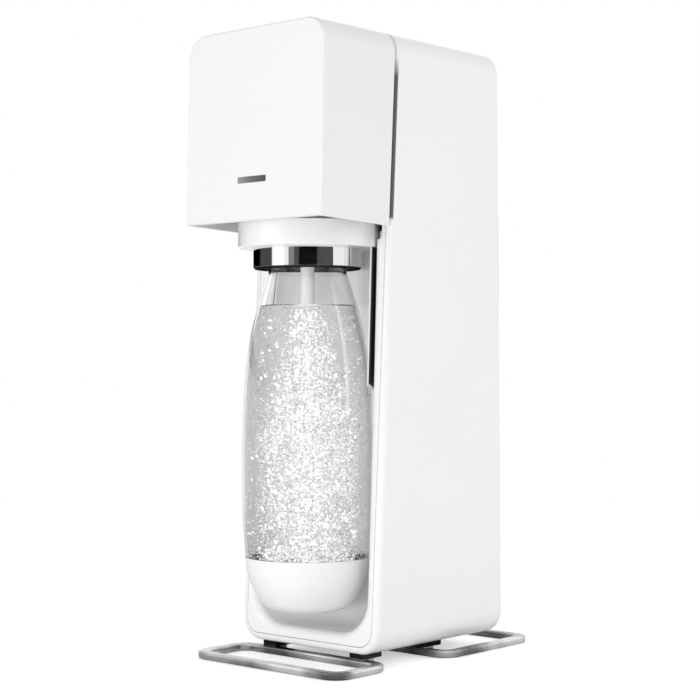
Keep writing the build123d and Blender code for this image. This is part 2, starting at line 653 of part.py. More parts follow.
def biarc(start, start_tangent, end, end_tangent):
    """Two arcs that leave start and reach end along the given tangents."""
    chord = end - start
    both = start_tangent + end_tangent
    spread = 2 * (1 - start_tangent.dot(end_tangent))
    lean = chord.dot(both)
    reach = (math.sqrt(lean * lean + spread * chord.dot(chord)) - lean) / spread
    middle = (start + start_tangent * reach + end - end_tangent * reach) / 2
    second = Edge.make_tangent_arc(end, end_tangent * -1, middle)
    return [Edge.make_tangent_arc(start, start_tangent, middle), second]


def coil_spring(name, coil_r, wire_r, turns, length):
    """Coil spring standing on z = 0, wound in quarter turns, with its least gap to itself printed."""
    pitch = (length - 2 * wire_r - STEP_GAP) / turns
    step = math.pi / 2
    edges = []
    for quarter in range(4 * turns):
        angle = quarter * step
        ends = [helix_point(coil_r, pitch, angle + turn) for turn in (0, step)]
        tangents = [helix_tangent(coil_r, pitch, angle + turn) for turn in (0, step)]
        edges += biarc(ends[0], tangents[0], ends[1], tangents[1])
    path = Wire(edges)
    points = [helix_point(coil_r, pitch, n * step / 6) for n in range(24 * turns + 1)]
    gaps = [(points[i] - points[j]).length for i in range(len(points)) for j in range(i + 12, len(points))]
    print(name, "least gap to itself", round(min(gaps) - 2 * wire_r, 2), "mm")
    section = Plane(path @ 0, z_dir=path % 0) * Circle(wire_r)
    return Pos(0, 0, wire_r + STEP_GAP / 2) * sweep(section, path=path)


def press_springs():
    spring = coil_spring("press_springs", SPRING_COIL_R, SPRING_WIRE_R, SPRING_TURNS, SPRING_LENGTH)
    return Compound(children=[Pos(side * ROD_X, ROD_Y, DECK_TOP_Z) * spring for side in (-1, 1)])


def head_outline(inset):
    """Upright section of the head: square below, rounded above."""
    high = BODY_TOP_Z - inset
    low = COLLAR_Z
    outline = Rectangle(BODY_WIDTH - 2 * inset, high - low)
    outline = fillet(outline.vertices().group_by(Axis.Y)[-1], BODY_CORNER_R - inset)
    return Pos(0, (low + high) / 2) * outline


def head_block(inset):
    body = extrude(facing_front(0) * head_outline(inset), amount=REACH)
    return split(body, bisect_by=head_plane(inset), keep=Keep.BOTTOM)


def on_head(shape, rise, depth, length, x=0):
    """Flat outline laid on the head's front at a height above its rim, cut inwards from depth."""
    return extrude(head_plane(depth) * Pos(x, rise) * shape, amount=-length)


def carriage_depth():
    return -(SEAM_GAP + CARRIAGE_PLATE)


def rib_heights():
    return CARRIAGE_Z + RIB_MARGIN, BUSH_TOP_Z + RIB_MARGIN


def carriage_screw_places():
    x = INNER_HALF_WIDTH - RIB_WIDTH / 2
    low, high = rib_heights()
    heights = (low + CARRIAGE_SCREW_INSET, high - CARRIAGE_SCREW_INSET)
    return [(side * x, z) for side in (-1, 1) for z in heights]


def carriage_screw_hole(x, z, start, length, radius):
    """Round bar square to the seam at height z, starting at a depth under the tower's front."""
    lean = math.radians(FRONT_LEAN_DEG)
    return extrude(front_plane(start) * Pos(x, z / math.cos(lean)) * Circle(radius), amount=length)


def press_shell():
    lean = math.radians(HEAD_RIM_SLOPE_DEG)
    rim = Plane((0, HEAD_FRONT_Y, HEAD_RIM_Z), x_dir=(1, 0, 0), z_dir=(0, -math.sin(lean), -math.cos(lean)))
    body = split(head_block(0), bisect_by=rim, keep=Keep.BOTTOM)
    body = split(body, bisect_by=front_plane(-SEAM_GAP), keep=Keep.TOP)
    body = fillet(body.faces().sort_by(Axis.Y)[0].edges(), HEAD_EDGE_R)
    body -= head_block(WALL)
    window = RectangleRounded(INDICATOR_WIDTH, INDICATOR_HEIGHT, INDICATOR_CORNER_R)
    body -= on_head(window, INDICATOR_RISE, -WALL, 3 * WALL)
    for side in (-1, 1):
        rib_x = sorted((side * INNER_HALF_WIDTH, side * (INNER_HALF_WIDTH - RIB_WIDTH)))
        rib = block(rib_x, (HEAD_FRONT_Y, 0), rib_heights())
        body += between(rib, front_plane, carriage_depth() - RIB_DEPTH, carriage_depth())
        post = Circle(BOARD_POST_R)
        body += on_head(post, INDICATOR_RISE, WALL, INDICATOR_DEPTH - WALL, side * BOARD_POST_X)
    for x, z in carriage_screw_places():
        body -= carriage_screw_hole(
            x, z, carriage_depth(), CARRIAGE_SCREW_LENGTH + STEP_GAP, CARRIAGE_SCREW_R + SCREW_CLEARANCE
        )
    return body


def press_carriage():
    plate = between(head_block(WALL + CARRIAGE_FIT), front_plane, carriage_depth(), -SEAM_GAP)
    plate &= block((-HALF_WIDTH, HALF_WIDTH), (HEAD_FRONT_Y, 0), (CARRIAGE_Z, BODY_TOP_Z))
    pad = block((-PAD_HALF_WIDTH, PAD_HALF_WIDTH), (HEAD_FRONT_Y, PAD_END_Y), (PAD_Z, PAD_Z + PAD_THICKNESS))
    inner = [pad]
    for side in (-1, 1):
        beam_x = (side * ROD_X - BEAM_WIDTH / 2, side * ROD_X + BEAM_WIDTH / 2)
        inner.append(block(beam_x, (HEAD_FRONT_Y, ROD_Y), (BUSH_Z, BUSH_TOP_Z)))
    for beam in inner:
        plate += split(beam, bisect_by=front_plane(carriage_depth()), keep=Keep.BOTTOM)
    for side in (-1, 1):
        plate += rod_z(side * ROD_X, ROD_Y, (BUSH_Z, BUSH_TOP_Z), BUSH_R)
    for side in (-1, 1):
        plate -= rod_z(side * ROD_X, ROD_Y, (BUSH_Z, BUSH_TOP_Z), ROD_R + RUNNING_CLEARANCE)
    for x, z in carriage_screw_places():
        plate -= carriage_screw_hole(
            x, z, 0, CARRIAGE_SCREW_LENGTH + SEAM_GAP, CARRIAGE_SCREW_R + SCREW_CLEARANCE
        )
    return plate


def carriage_screws():
    screws = []
    head = SEAM_GAP / 2
    for x, z in carriage_screw_places():
        length = CARRIAGE_SCREW_LENGTH + CARRIAGE_PLATE
        screw = carriage_screw_hole(x, z, -SEAM_GAP, length, CARRIAGE_SCREW_R)
        screws.append(screw + carriage_screw_hole(x, z, head - SEAM_GAP, head, CARRIAGE_SCREW_HEAD_R))
    return Compound(children=screws)


def indicator_lens():
    width = INDICATOR_WIDTH - 2 * INDICATOR_GAP
    height = INDICATOR_HEIGHT - 2 * INDICATOR_GAP
    return on_head(RectangleRounded(width, height, INDICATOR_CORNER_R), INDICATOR_RISE, 0, INDICATOR_DEPTH)


def indicator_board():
    rise = INDICATOR_RISE - BOARD_BELOW_LENS + BOARD_HEIGHT / 2
    return on_head(Rectangle(BOARD_WIDTH, BOARD_HEIGHT), rise, INDICATOR_DEPTH, BOARD_THICKNESS)


def coin_cell():
    depth = INDICATOR_DEPTH + BOARD_THICKNESS
    cell = on_head(Circle(CELL_R), INDICATOR_RISE + CELL_RISE, depth, CELL_THICKNESS)
    return chamfer(cell.edges(), CELL_THICKNESS / 8)


def valve_block():
    body = rod_z(0, CYLINDER_Y, (DECK_TOP_Z, VALVE_TOP_Z), VALVE_R)
    flange_x = (-VALVE_FLANGE_HALF_WIDTH, VALVE_FLANGE_HALF_WIDTH)
    flange_y = (CYLINDER_Y - VALVE_FLANGE_HALF_DEPTH, CYLINDER_Y + VALVE_FLANGE_HALF_DEPTH)
    body += block(flange_x, flange_y, (DECK_TOP_Z, DECK_TOP_Z + VALVE_FLANGE))
    body += rod_y(0, (OUTLET_Y, CYLINDER_Y), OUTLET_Z, OUTLET_R)
    body -= rod_z(0, CYLINDER_Y, (DECK_TOP_Z, SOCKET_TOP_Z), SOCKET_R + RUNNING_CLEARANCE)
    body -= rod_z(0, CYLINDER_Y, (SOCKET_TOP_Z, VALVE_TOP_Z), PIN_R + RUNNING_CLEARANCE)
    spot_face = (RELIEF_X, VALVE_R + RELIEF_HEX)
    body -= rod_x(spot_face, CYLINDER_Y, OUTLET_Z, RELIEF_HEX_R + SCREW_CLEARANCE)
    pocket_r = VALVE_SPRING_COIL_R + VALVE_SPRING_WIRE_R + SEAT_GAP
    body -= rod_z(0, CYLINDER_Y, (VALVE_TOP_Z - VALVE_SPRING_POCKET, VALVE_TOP_Z), pocket_r)
    for side in (-1, 1):
        hole_z = (DECK_TOP_Z, DECK_TOP_Z + VALVE_FLANGE)
        body -= rod_z(side * VALVE_SCREW_X, CYLINDER_Y, hole_z, VALVE_SCREW_R + SCREW_CLEARANCE)
    return body


def valve_block_screws():
    seat_z = DECK_TOP_Z + VALVE_FLANGE
    head_r = 2 * VALVE_SCREW_R
    return Compound(children=[
        cap_screw(side * VALVE_SCREW_X, CYLINDER_Y, seat_z, DECK_Z, VALVE_SCREW_R, head_r) for side in (-1, 1)
    ])


def cylinder_seal():
    washer_z = (SOCKET_TOP_Z - WASHER_THICKNESS, SOCKET_TOP_Z)
    washer = rod_z(0, CYLINDER_Y, washer_z, SOCKET_R)
    return washer - rod_z(0, CYLINDER_Y, washer_z, WASHER_BORE_R)


def relief_valve():
    body = rod_x((RELIEF_X, RELIEF_X + RELIEF_LENGTH), CYLINDER_Y, OUTLET_Z, RELIEF_R)
    hexagon = extrude(RegularPolygon(RELIEF_HEX_R, 6), amount=RELIEF_HEX)
    return body + Pos(RELIEF_X, CYLINDER_Y, OUTLET_Z) * Rot(0, 90, 0) * hexagon


def valve_pin():
    pin = rod_z(0, CYLINDER_Y, (SOCKET_TOP_Z + PIN_TIP_GAP, PIN_TOP_Z), PIN_R)
    return pin + rod_z(0, CYLINDER_Y, (PIN_COLLAR_Z, PIN_COLLAR_Z + PIN_COLLAR), PIN_COLLAR_R)


def valve_spring():
    base_z = VALVE_TOP_Z - VALVE_SPRING_POCKET
    length = PIN_COLLAR_Z - base_z
    spring = coil_spring(
        "valve_spring", VALVE_SPRING_COIL_R, VALVE_SPRING_WIRE_R, VALVE_SPRING_TURNS, length
    )
    return Pos(0, CYLINDER_Y, base_z) * spring


def actuator_lever():
    half = LEVER_WIDTH / 2
    bar = block((-half, half), (LEVER_NOSE_Y, LEVER_PIVOT_Y), (LEVER_Z, LEVER_TOP_Z))
    nose = bar.edges().filter_by(Axis.X).group_by(Axis.Y)[0]
    bar = fillet(nose, LEVER_THICKNESS / 4)
    bar += rod_x((-half, half), LEVER_PIVOT_Y, LEVER_PIVOT_Z, LEVER_HUB_R)
    return bar - rod_x((-half, half), LEVER_PIVOT_Y, LEVER_PIVOT_Z, LEVER_PIN_R + RUNNING_CLEARANCE)


def lever_pin():
    reach = LEVER_WIDTH / 2 + LEVER_EAR_GAP + LEVER_EAR
    pin = rod_x((-reach, reach), LEVER_PIVOT_Y, LEVER_PIVOT_Z, LEVER_PIN_R)
    return pin + rod_x((reach, reach + LEVER_CLIP), LEVER_PIVOT_Y, LEVER_PIVOT_Z, LEVER_CLIP_R)


def revolved(outline, y):
    """Round piece on an upright axis at y, turned from its half section of (radius, height)."""
    return Pos(0, y, 0) * revolve(Plane.XZ * outline, axis=Axis.Z)


def gas_cylinder_section(inset, neck_r):
    """Half section of the gas bottle, drawn in by inset, up to the top of its neck."""
    radius = CYLINDER_R - inset
    base = CYLINDER_BASE_Z + inset
    neck_z = CYLINDER_TOP_Z - THREAD_LENGTH - VALVE_HEX_HEIGHT
    shoulder_top = neck_z - CYLINDER_NECK - inset
    shoulder = shoulder_top - CYLINDER_SHOULDER
    corner = CYLINDER_BASE_R - inset
    foot = Line((0, base), (radius - corner, base))
    edge = JernArc(foot @ 1, foot % 1, corner, 90)
    side = Line(edge @ 1, (radius, shoulder))
    dome = EllipticalCenterArc((neck_r, shoulder), radius - neck_r, shoulder_top - shoulder, arc_size=90)
    neck = Polyline(dome @ 1, (neck_r, neck_z), (0, neck_z), (0, base))
    return make_face([foot, edge, side, dome, neck])


def gas_cylinder():
    outside = revolved(gas_cylinder_section(0, CYLINDER_NECK_R), CYLINDER_Y)
    return outside - revolved(gas_cylinder_section(CYLINDER_WALL, CYLINDER_NECK_BORE_R), CYLINDER_Y)


def cylinder_valve():
    hex_z = CYLINDER_TOP_Z - THREAD_LENGTH - VALVE_HEX_HEIGHT
    plug = rod_z(0, CYLINDER_Y, (hex_z - VALVE_PLUG, hex_z), CYLINDER_NECK_BORE_R - RUNNING_CLEARANCE)
    hexagon = extrude(RegularPolygon(VALVE_HEX_R, 6), amount=VALVE_HEX_HEIGHT)
    thread = rod_z(0, CYLINDER_Y, (hex_z + VALVE_HEX_HEIGHT, CYLINDER_TOP_Z), SOCKET_R)
    return plug + Pos(0, CYLINDER_Y, hex_z) * hexagon + thread


def gas_hose():
    elbow_end = PIVOT_Y + ELBOW_BOSS
    route = [
        (0, OUTLET_Y, OUTLET_Z),
        (0, HOSE_Y, OUTLET_Z),
        (-HOSE_X, HOSE_Y, OUTLET_Z),
        (-HOSE_X, HOSE_Y, PIVOT_Z),
        (-HOSE_X, elbow_end, PIVOT_Z),
    ]
    path = FilletPolyline(*route, radius=[HOSE_FIRST_BEND_R, HOSE_BEND_R, HOSE_BEND_R])
    section = Plane((0, OUTLET_Y, OUTLET_Z), z_dir=(0, -1, 0)) * (Circle(HOSE_R) - Circle(HOSE_BORE_R))
    hose = sweep(section, path=path)
    ring = math.pi * (HOSE_R**2 - HOSE_BORE_R**2)
    print("gas_hose volume over section times length", round(hose.volume / (ring * path.length), 4))
    return hose


def hose_elbow():
    end_x = -(ARM_END_X + ELBOW_WIDTH)
    body = rod_x((end_x, -ARM_END_X), PIVOT_Y, PIVOT_Z, ELBOW_R)
    body += rod_x((-ARM_END_X, -(EAR_X - EAR_THICKNESS / 2)), PIVOT_Y, PIVOT_Z, PIVOT_R)
    return body + rod_y(-HOSE_X, (PIVOT_Y, PIVOT_Y + ELBOW_BOSS), PIVOT_Z, ELBOW_BOSS_R)


def cradle_pivot_pin():
    pin = rod_x((EAR_X - EAR_THICKNESS / 2, ARM_END_X), PIVOT_Y, PIVOT_Z, PIVOT_R)
    return pin + rod_x((ARM_END_X, ARM_END_X + PIVOT_HEAD), PIVOT_Y, PIVOT_Z, PIVOT_HEAD_R)


def collar_outline(inset):
    """Plan of the collar: round in front, straight at the sides, rounded off behind inside the niche."""
    half = COLLAR_R - inset
    back = NICHE_R - COLLAR_BACK_GAP - inset
    front = Circle(half)
    sides = Pos(0, back / 2) * Rectangle(2 * half, back)
    return Pos(0, BOTTLE_Y) * ((front + sides) & Circle(back))


def cradle_collar():
    body = extrude(Pos(0, 0, COLLAR_Z) * collar_outline(0), amount=COLLAR_HEIGHT)
    body = fillet(body.faces().sort_by(Axis.Z)[0].edges(), COLLAR_EDGE_R)
    floor_z = COLLAR_Z + RING_SEAT + COLLAR_FLOOR
    body -= extrude(Pos(0, 0, floor_z) * collar_outline(COLLAR_WALL), amount=COLLAR_HEIGHT)
    boss_r = MANIFOLD_FLANGE_R
    body += rod_z(0, BOTTLE_Y, (floor_z, COLLAR_TOP_Z), boss_r)
    for side in (-1, 1):
        ear_x = sorted((side * EAR_X, side * EAR_END_X))
        foot_z = floor_z + EAR_R / 4
        feet = [(PIVOT_Y - EAR_R, foot_z, EAR_R / 2), (PIVOT_Y + EAR_R, foot_z, EAR_R / 2)]
        body += hull_plate(ear_x, [(PIVOT_Y, PIVOT_Z, EAR_R)] + feet)
    body -= rod_z(0, BOTTLE_Y, (COLLAR_Z, COLLAR_TOP_Z), COLLAR_BORE_R)
    body -= rod_z(0, BOTTLE_Y, (COLLAR_Z, COLLAR_Z + RING_SEAT), RING_R + SCREW_CLEARANCE)
    body -= rod_x((0, EAR_END_X), PIVOT_Y, PIVOT_Z, PIVOT_R + RUNNING_CLEARANCE)
    return body - rod_x((-EAR_END_X, 0), PIVOT_Y, PIVOT_Z, GAS_PIPE_R + SCREW_CLEARANCE)


def cradle_saddle():
    saddle_z = (COLLAR_Z - SADDLE_HEIGHT, COLLAR_Z)
    tube = rod_z(0, BOTTLE_Y, saddle_z, SADDLE_R + SADDLE_WALL) - rod_z(0, BOTTLE_Y, saddle_z, SADDLE_R)
    tube = split(tube, bisect_by=front_plane(SADDLE_FRONT_INSET), keep=Keep.BOTTOM)
    outline = Rectangle(2 * (SADDLE_R + SADDLE_WALL), SADDLE_HEIGHT)
    outline = fillet(outline.vertices().group_by(Axis.Y)[0], SADDLE_CORNER_R)
    outline = facing_front(REACH) * Pos(0, COLLAR_Z - SADDLE_HEIGHT / 2) * outline
    return tube & extrude(outline, amount=2 * REACH)


def chrome_ring():
    ring_z = (RING_Z, COLLAR_Z + RING_SEAT)
    ring = rod_z(0, BOTTLE_Y, ring_z, RING_R) - rod_z(0, BOTTLE_Y, ring_z, RING_BORE_R)
    return chamfer(ring.faces().sort_by(Axis.Z)[0].edges(), RING_CHAMFER)


def mouth_seal():
    seal_z = (MOUTH_Z + SEAT_GAP, MOUTH_Z + SEAT_GAP + SEAL_THICKNESS)
    seal = rod_z(0, BOTTLE_Y, seal_z, COLLAR_BORE_R - STEP_GAP)
    return seal - rod_z(0, BOTTLE_Y, seal_z, SEAL_BORE_R)


def nozzle_manifold():
    seat_z = MOUTH_Z + SEAT_GAP + SEAL_THICKNESS
    body = rod_z(0, BOTTLE_Y, (seat_z, COLLAR_TOP_Z), COLLAR_BORE_R - STEP_GAP)
    body += rod_z(0, BOTTLE_Y, (COLLAR_TOP_Z, COLLAR_TOP_Z + MANIFOLD_FLANGE), MANIFOLD_FLANGE_R)
    hub_top = PIVOT_Z + GAS_PIPE_R + MANIFOLD_FLANGE / 2
    body += rod_z(0, BOTTLE_Y, (COLLAR_TOP_Z, hub_top), MANIFOLD_HUB_R)
    body += rod_x((-EAR_END_X, 0), PIVOT_Y, PIVOT_Z, GAS_PIPE_R)
    body -= rod_x((-EAR_END_X, -(EAR_X - EAR_THICKNESS)), PIVOT_Y, PIVOT_Z, PIVOT_R + RUNNING_CLEARANCE)
    return body - rod_z(0, BOTTLE_Y, (seat_z, seat_z + NOZZLE_SOCKET), NOZZLE_R + RUNNING_CLEARANCE)


def nozzle_tube():
    top_z = MOUTH_Z + SEAT_GAP + SEAL_THICKNESS + NOZZLE_SOCKET
    tube_z = (MOUTH_Z - NOZZLE_DEPTH, top_z)
    tube = rod_z(0, BOTTLE_Y, tube_z, NOZZLE_R)
    tube = chamfer(tube.faces().sort_by(Axis.Z)[0].edges(), NOZZLE_R / 4)
    return tube - rod_z(0, BOTTLE_Y, tube_z, NOZZLE_BORE_R)


def cup_curve(inset, lift=0):
    """Rounded foot of the bottle from its axis to the cup's top edge, drawn in by inset, raised by lift."""
    foot = Line((0, BOTTLE_BASE_Z + inset), (CUP_FLAT_R, BOTTLE_BASE_Z + inset))
    edge = JernArc(foot @ 1, foot % 1, CUP_EDGE_R - inset, CUP_EDGE_TURN_DEG)
    rim = (BOTTLE_R - CUP_TOP_INSET - inset, BOTTLE_BASE_Z + CUP_HEIGHT + lift)
    side = TangentArc(edge @ 1, rim, tangent=edge % 1)
    return [foot, edge, side]


def bottle_side(inset, lift):
    """Swelling side of the bottle from above the cup to under its mouth, drawn in by inset."""
    widths = [
        (BOTTLE_R - FOOT_INSET, BOTTLE_BASE_Z + CUP_HEIGHT + lift),
        (BOTTLE_R, BOTTLE_BASE_Z + CUP_HEIGHT + BELLY_RISE),
        (BOTTLE_R - SHOULDER_INSET, MOUTH_Z - SHOULDER_DROP),
        (BOTTLE_R - NECK_INSET, MOUTH_Z - NECK_DROP),
        (MOUTH_R + THROAT_SWELL, MOUTH_Z - THROAT_DROP),
        (MOUTH_R + LIP_SWELL, MOUTH_Z - LIP_HEIGHT),
    ]
    return Spline([(radius - inset, z) for radius, z in widths])


def bottle_section(inset, foot_inset, top_z):
    foot = cup_curve(foot_inset, inset)
    side = bottle_side(inset, inset)
    step = Line(foot[-1] @ 1, side @ 0)
    neck = Polyline(side @ 1, (MOUTH_R - inset, top_z), (0, top_z), (0, BOTTLE_BASE_Z + foot_inset))
    return make_face(foot + [step, side, neck])


def bottle():
    foot_inset = CUP_WALL + STEP_GAP
    outside = revolved(bottle_section(0, foot_inset, MOUTH_Z), BOTTLE_Y)
    inside = bottle_section(BOTTLE_WALL, foot_inset + BOTTLE_WALL, MOUTH_Z + BOTTLE_WALL)
    return outside - revolved(inside, BOTTLE_Y)


def base_cup():
    outer = cup_curve(0)
    inner = cup_curve(CUP_WALL)
    rim = Line(outer[-1] @ 1, inner[-1] @ 1)
    axis = Line((0, BOTTLE_BASE_Z), (0, BOTTLE_BASE_Z + CUP_WALL))
    return revolved(make_face(outer + [rim] + inner + [axis]), BOTTLE_Y)


def on_rear(x, z, outer, inner):
    """Block on the leaning rear face between two depths under it."""
    outline = Pos(-(x[0] + x[1]) / 2, (z[0] + z[1]) / 2) * Rectangle(x[1] - x[0], z[1] - z[0])
    return extrude(rear_plane(outer) * outline, amount=outer - inner)


def slider_depths():
    start = COVER_WALL + STEP_GAP
    return start, start + SLIDER_THICKNESS


def slider_z():
    return BUTTON_Z - SLIDER_TAIL, BUTTON_Z + BUTTON_HEIGHT + SLIDER_MARGIN + RIM_WIDTH / 2


def spring_depth():
    return COVER_WALL + BUTTON_SPRING_COIL_R + BUTTON_SPRING_WIRE_R + SEAT_GAP


def rear_cover():
    inset = RIM_WIDTH + COVER_GAP
    cover = between(tower_prism(inset, SILL_Z + COVER_GAP), rear_plane, 0, COVER_WALL)
    window_z = (BUTTON_Z - BUTTON_TRAVEL - COVER_GAP, BUTTON_Z + BUTTON_HEIGHT + COVER_GAP)
    window_x = BUTTON_HALF_WIDTH + COVER_GAP
    cover -= on_rear((-window_x, window_x), window_z, -WALL, 2 * WALL)
    slider_out = slider_depths()[1]
    slider_x = BUTTON_HALF_WIDTH + SLIDER_MARGIN + SEAT_GAP
    rail_z = (slider_z()[0] - BUTTON_TRAVEL, slider_z()[1])
    for side in (-1, 1):
        hook_x = sorted((side * HOOK_X, side * (HOOK_X + HOOK_WIDTH)))
        hook_in = LIP_DEPTH + SEAT_GAP
        hook_z = (SILL_Z - HOOK_DROP, SILL_Z + HOOK_RISE)
        cover += on_rear(hook_x, hook_z, hook_in, hook_in + HOOK_THICKNESS)
        cover += on_rear(hook_x, (SILL_Z + COVER_GAP, hook_z[1]), COVER_WALL, hook_in)
        rail_x = sorted((side * slider_x, side * (slider_x + RAIL_WIDTH)))
        lip_in = slider_out + SEAT_GAP
        cover += on_rear(rail_x, rail_z, COVER_WALL, lip_in + RAIL_LIP_THICKNESS)
        lip_x = sorted((side * (slider_x - RAIL_LIP), side * (slider_x + RAIL_WIDTH)))
        cover += on_rear(lip_x, rail_z, lip_in, lip_in + RAIL_LIP_THICKNESS)
    shelf_top = slider_z()[0] - BUTTON_SPRING_LENGTH
    shelf_z = (shelf_top - SHELF_THICKNESS, shelf_top)
    shelf_in = spring_depth() + BUTTON_SPRING_COIL_R + SEAT_GAP
    cover += on_rear((-SHELF_HALF_WIDTH, SHELF_HALF_WIDTH), shelf_z, COVER_WALL, shelf_in)
    return cover


def cover_button():
    start, end = slider_depths()
    half = BUTTON_HALF_WIDTH + SLIDER_MARGIN
    slider = on_rear((-half, half), slider_z(), start, end)
    pad_z = (BUTTON_Z, BUTTON_Z + BUTTON_HEIGHT)
    slider += on_rear((-BUTTON_HALF_WIDTH, BUTTON_HALF_WIDTH), pad_z, 0, start)
    rib_step = BUTTON_HEIGHT / BUTTON_RIBS
    for rib in range(BUTTON_RIBS):
        middle = BUTTON_Z + (rib + 0.5) * rib_step
        rib_z = (middle - BUTTON_RIB_HEIGHT / 2, middle + BUTTON_RIB_HEIGHT / 2)
        slider += on_rear((-BUTTON_HALF_WIDTH + WALL, BUTTON_HALF_WIDTH - WALL), rib_z, -BUTTON_PROUD, 0)
    nose_z = (slider_z()[1], BODY_TOP_Z - RIM_WIDTH + NOSE_ENTRY)
    slider += on_rear((-NOSE_HALF_WIDTH, NOSE_HALF_WIDTH), nose_z, start, end)
    foot_z = (slider_z()[0], slider_z()[0] + SHELF_THICKNESS)
    foot_half = BUTTON_SPRING_COIL_R + BUTTON_SPRING_WIRE_R
    foot_in = spring_depth() + foot_half
    return slider + on_rear((-foot_half, foot_half), foot_z, start, foot_in)


def button_spring():
    spring = coil_spring(
        "button_spring", BUTTON_SPRING_COIL_R, BUTTON_SPRING_WIRE_R, BUTTON_SPRING_TURNS, BUTTON_SPRING_LENGTH
    )
    base_z = slider_z()[0] - BUTTON_SPRING_LENGTH
    depth_at_base = base_z * math.tan(math.radians(REAR_LEAN_DEG)) + spring_depth()
    return Pos(0, REAR_Y - depth_at_base, base_z) * spring


PIECES = [
    tower_shell, tower_base, deck_ledges, front_panel, front_foot, rear_foot, foot_screws, chassis,
    chassis_screws, guide_rods, rod_bridge, bridge_screws, press_springs, press_shell, press_carriage,
    carriage_screws, indicator_lens, indicator_board, coin_cell, valve_block, valve_block_screws,
    cylinder_seal, relief_valve, valve_pin, valve_spring, actuator_lever, lever_pin, gas_cylinder,
    cylinder_valve, gas_hose, hose_elbow, cradle_pivot_pin, cradle_collar, cradle_saddle, chrome_ring,
    mouth_seal, nozzle_manifold, nozzle_tube, bottle, base_cup, rear_cover, cover_button, button_spring,
]

for piece in PIECES:
    export_step(piece(), "parts/" + piece.__name__ + ".step")
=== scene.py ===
import json
import math
import random

import bpy
from mathutils import Euler, Matrix, Vector

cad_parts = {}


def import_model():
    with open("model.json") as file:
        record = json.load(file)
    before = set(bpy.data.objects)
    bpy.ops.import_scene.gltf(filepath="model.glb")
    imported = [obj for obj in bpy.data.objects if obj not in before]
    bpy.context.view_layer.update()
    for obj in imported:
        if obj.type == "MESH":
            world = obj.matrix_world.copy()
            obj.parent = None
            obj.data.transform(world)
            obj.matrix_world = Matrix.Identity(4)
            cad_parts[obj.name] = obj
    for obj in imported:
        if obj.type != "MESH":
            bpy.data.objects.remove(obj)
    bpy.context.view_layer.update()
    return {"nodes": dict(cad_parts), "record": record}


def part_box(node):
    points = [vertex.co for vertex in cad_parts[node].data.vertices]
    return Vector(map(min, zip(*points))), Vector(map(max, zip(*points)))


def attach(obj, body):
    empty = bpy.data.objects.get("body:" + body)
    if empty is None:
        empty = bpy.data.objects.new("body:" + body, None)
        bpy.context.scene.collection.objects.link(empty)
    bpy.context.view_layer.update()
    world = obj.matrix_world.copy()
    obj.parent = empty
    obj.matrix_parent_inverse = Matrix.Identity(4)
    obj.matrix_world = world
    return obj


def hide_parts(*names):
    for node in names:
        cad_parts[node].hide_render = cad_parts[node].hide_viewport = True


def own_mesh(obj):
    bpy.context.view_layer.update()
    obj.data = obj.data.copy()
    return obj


# A white soda carbonator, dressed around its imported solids. Metres, +Z up, front towards -Y.
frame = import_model()

# Camera of the photograph, placed from the bottle's axis
CAMERA_FROM_BOTTLE = (0.767, -0.8255, 0.202)
CAMERA_TURN_DEG = 41.43
CAMERA_TILT_DEG = 0.43
CAMERA_LENS = 85.37
CAMERA_SENSOR = 36.0

# Bottle: half-widths at heights over its base, which stands in the cup
BOTTLE_SIDE = [
    (0.0420, 0.0362), (0.0440, 0.0640), (0.04445, 0.0960), (0.04395, 0.1280), (0.04225, 0.1590),
    (0.03935, 0.1810), (0.03535, 0.1995), (0.0304, 0.2160), (0.0260, 0.2300), (0.0230, 0.2366),
    (0.0215, 0.2400), (0.0210, 0.2450),
]
BOTTLE_FOOT = [(0.0180, 0.0028), (0.0260, 0.0056), (0.0295, 0.0100), (0.0330, 0.0190), (0.0390, 0.0340)]
BOTTLE_WIDEST_R = max(radius for radius, height in BOTTLE_SIDE)
BOTTLE_WALL = 0.0016
BOTTLE_STEPS = 5
LATHE_SIDES = 128
LIP_ROUND = 0.0004
LIP_HEIGHT = 0.0009
WATER_GAP = 0.0002
WATER_HEIGHT = 0.2042
WATER_MIDDLE_R = 0.006
MENISCUS = 0.0012
MENISCUS_STEEP = 0.0006
MENISCUS_REACH = 0.0018

# Bubbles in the water: how many in a cluster, least and most radius; repeats as turn and rise
BUBBLE_SEED = 7
WHITE_BUBBLES = {
    "bubbles_fine_a": (900, 0.00022, 0.00042), "bubbles_fine_b": (890, 0.00022, 0.00042),
    "bubbles_fine_c": (880, 0.00022, 0.00042), "bubbles_coarse": (250, 0.0004, 0.0009),
}
AIR_BUBBLES = {
    "bubbles_air_a": (280, 0.0004, 0.0011), "bubbles_air_b": (260, 0.0004, 0.0011),
}
BUBBLE_REPEATS = [(97, 0.0013), (41, -0.0021)]
AIR_IN_WATER = 0.752
# Painted glow of the white bubbles, which are no lamp
PAINTED_BUBBLE_GLOW = 0.52
BUBBLE_LEAN = 0.7
BUBBLE_STRETCHES = (1.0, 1.0, 1.0, 1.8)
FROTH_SHARE = 0.07
FROTH_HEIGHT = 0.007
BUBBLE_LOW = 0.0335
BUBBLE_TOP_GAP = 0.0024
FINE_BUBBLE_R = 0.0005
BUBBLE_WALL_GAP = 0.0026
STRAY_BUBBLES = 0.09
PLUME_START_R = 0.008
PLUME_SPREAD = 0.21
PLUME_SHARE = 0.66
PLUME_THIN = 0.02

# Springs: body, turns, wire radius, joint and the share of length left at its limit
SPRINGS = {
    "press_springs": ("base", 6, 0.0007, "press_slide", 29.0 / 37.0),
    "valve_spring": ("base", 6, 0.0004, "pin_push", 0.857),
    "button_spring": ("rear_cover", 7, 0.00035, "button_slide", 0.8),
}
COIL_SIDES = 12
COIL_STEPS = 32
HOSE_R = 0.0025
HOSE_RUN_SETBACK = 0.012
HOSE_BENDS = (0.010, 0.020, 0.020)
BEND_STEPS = 12
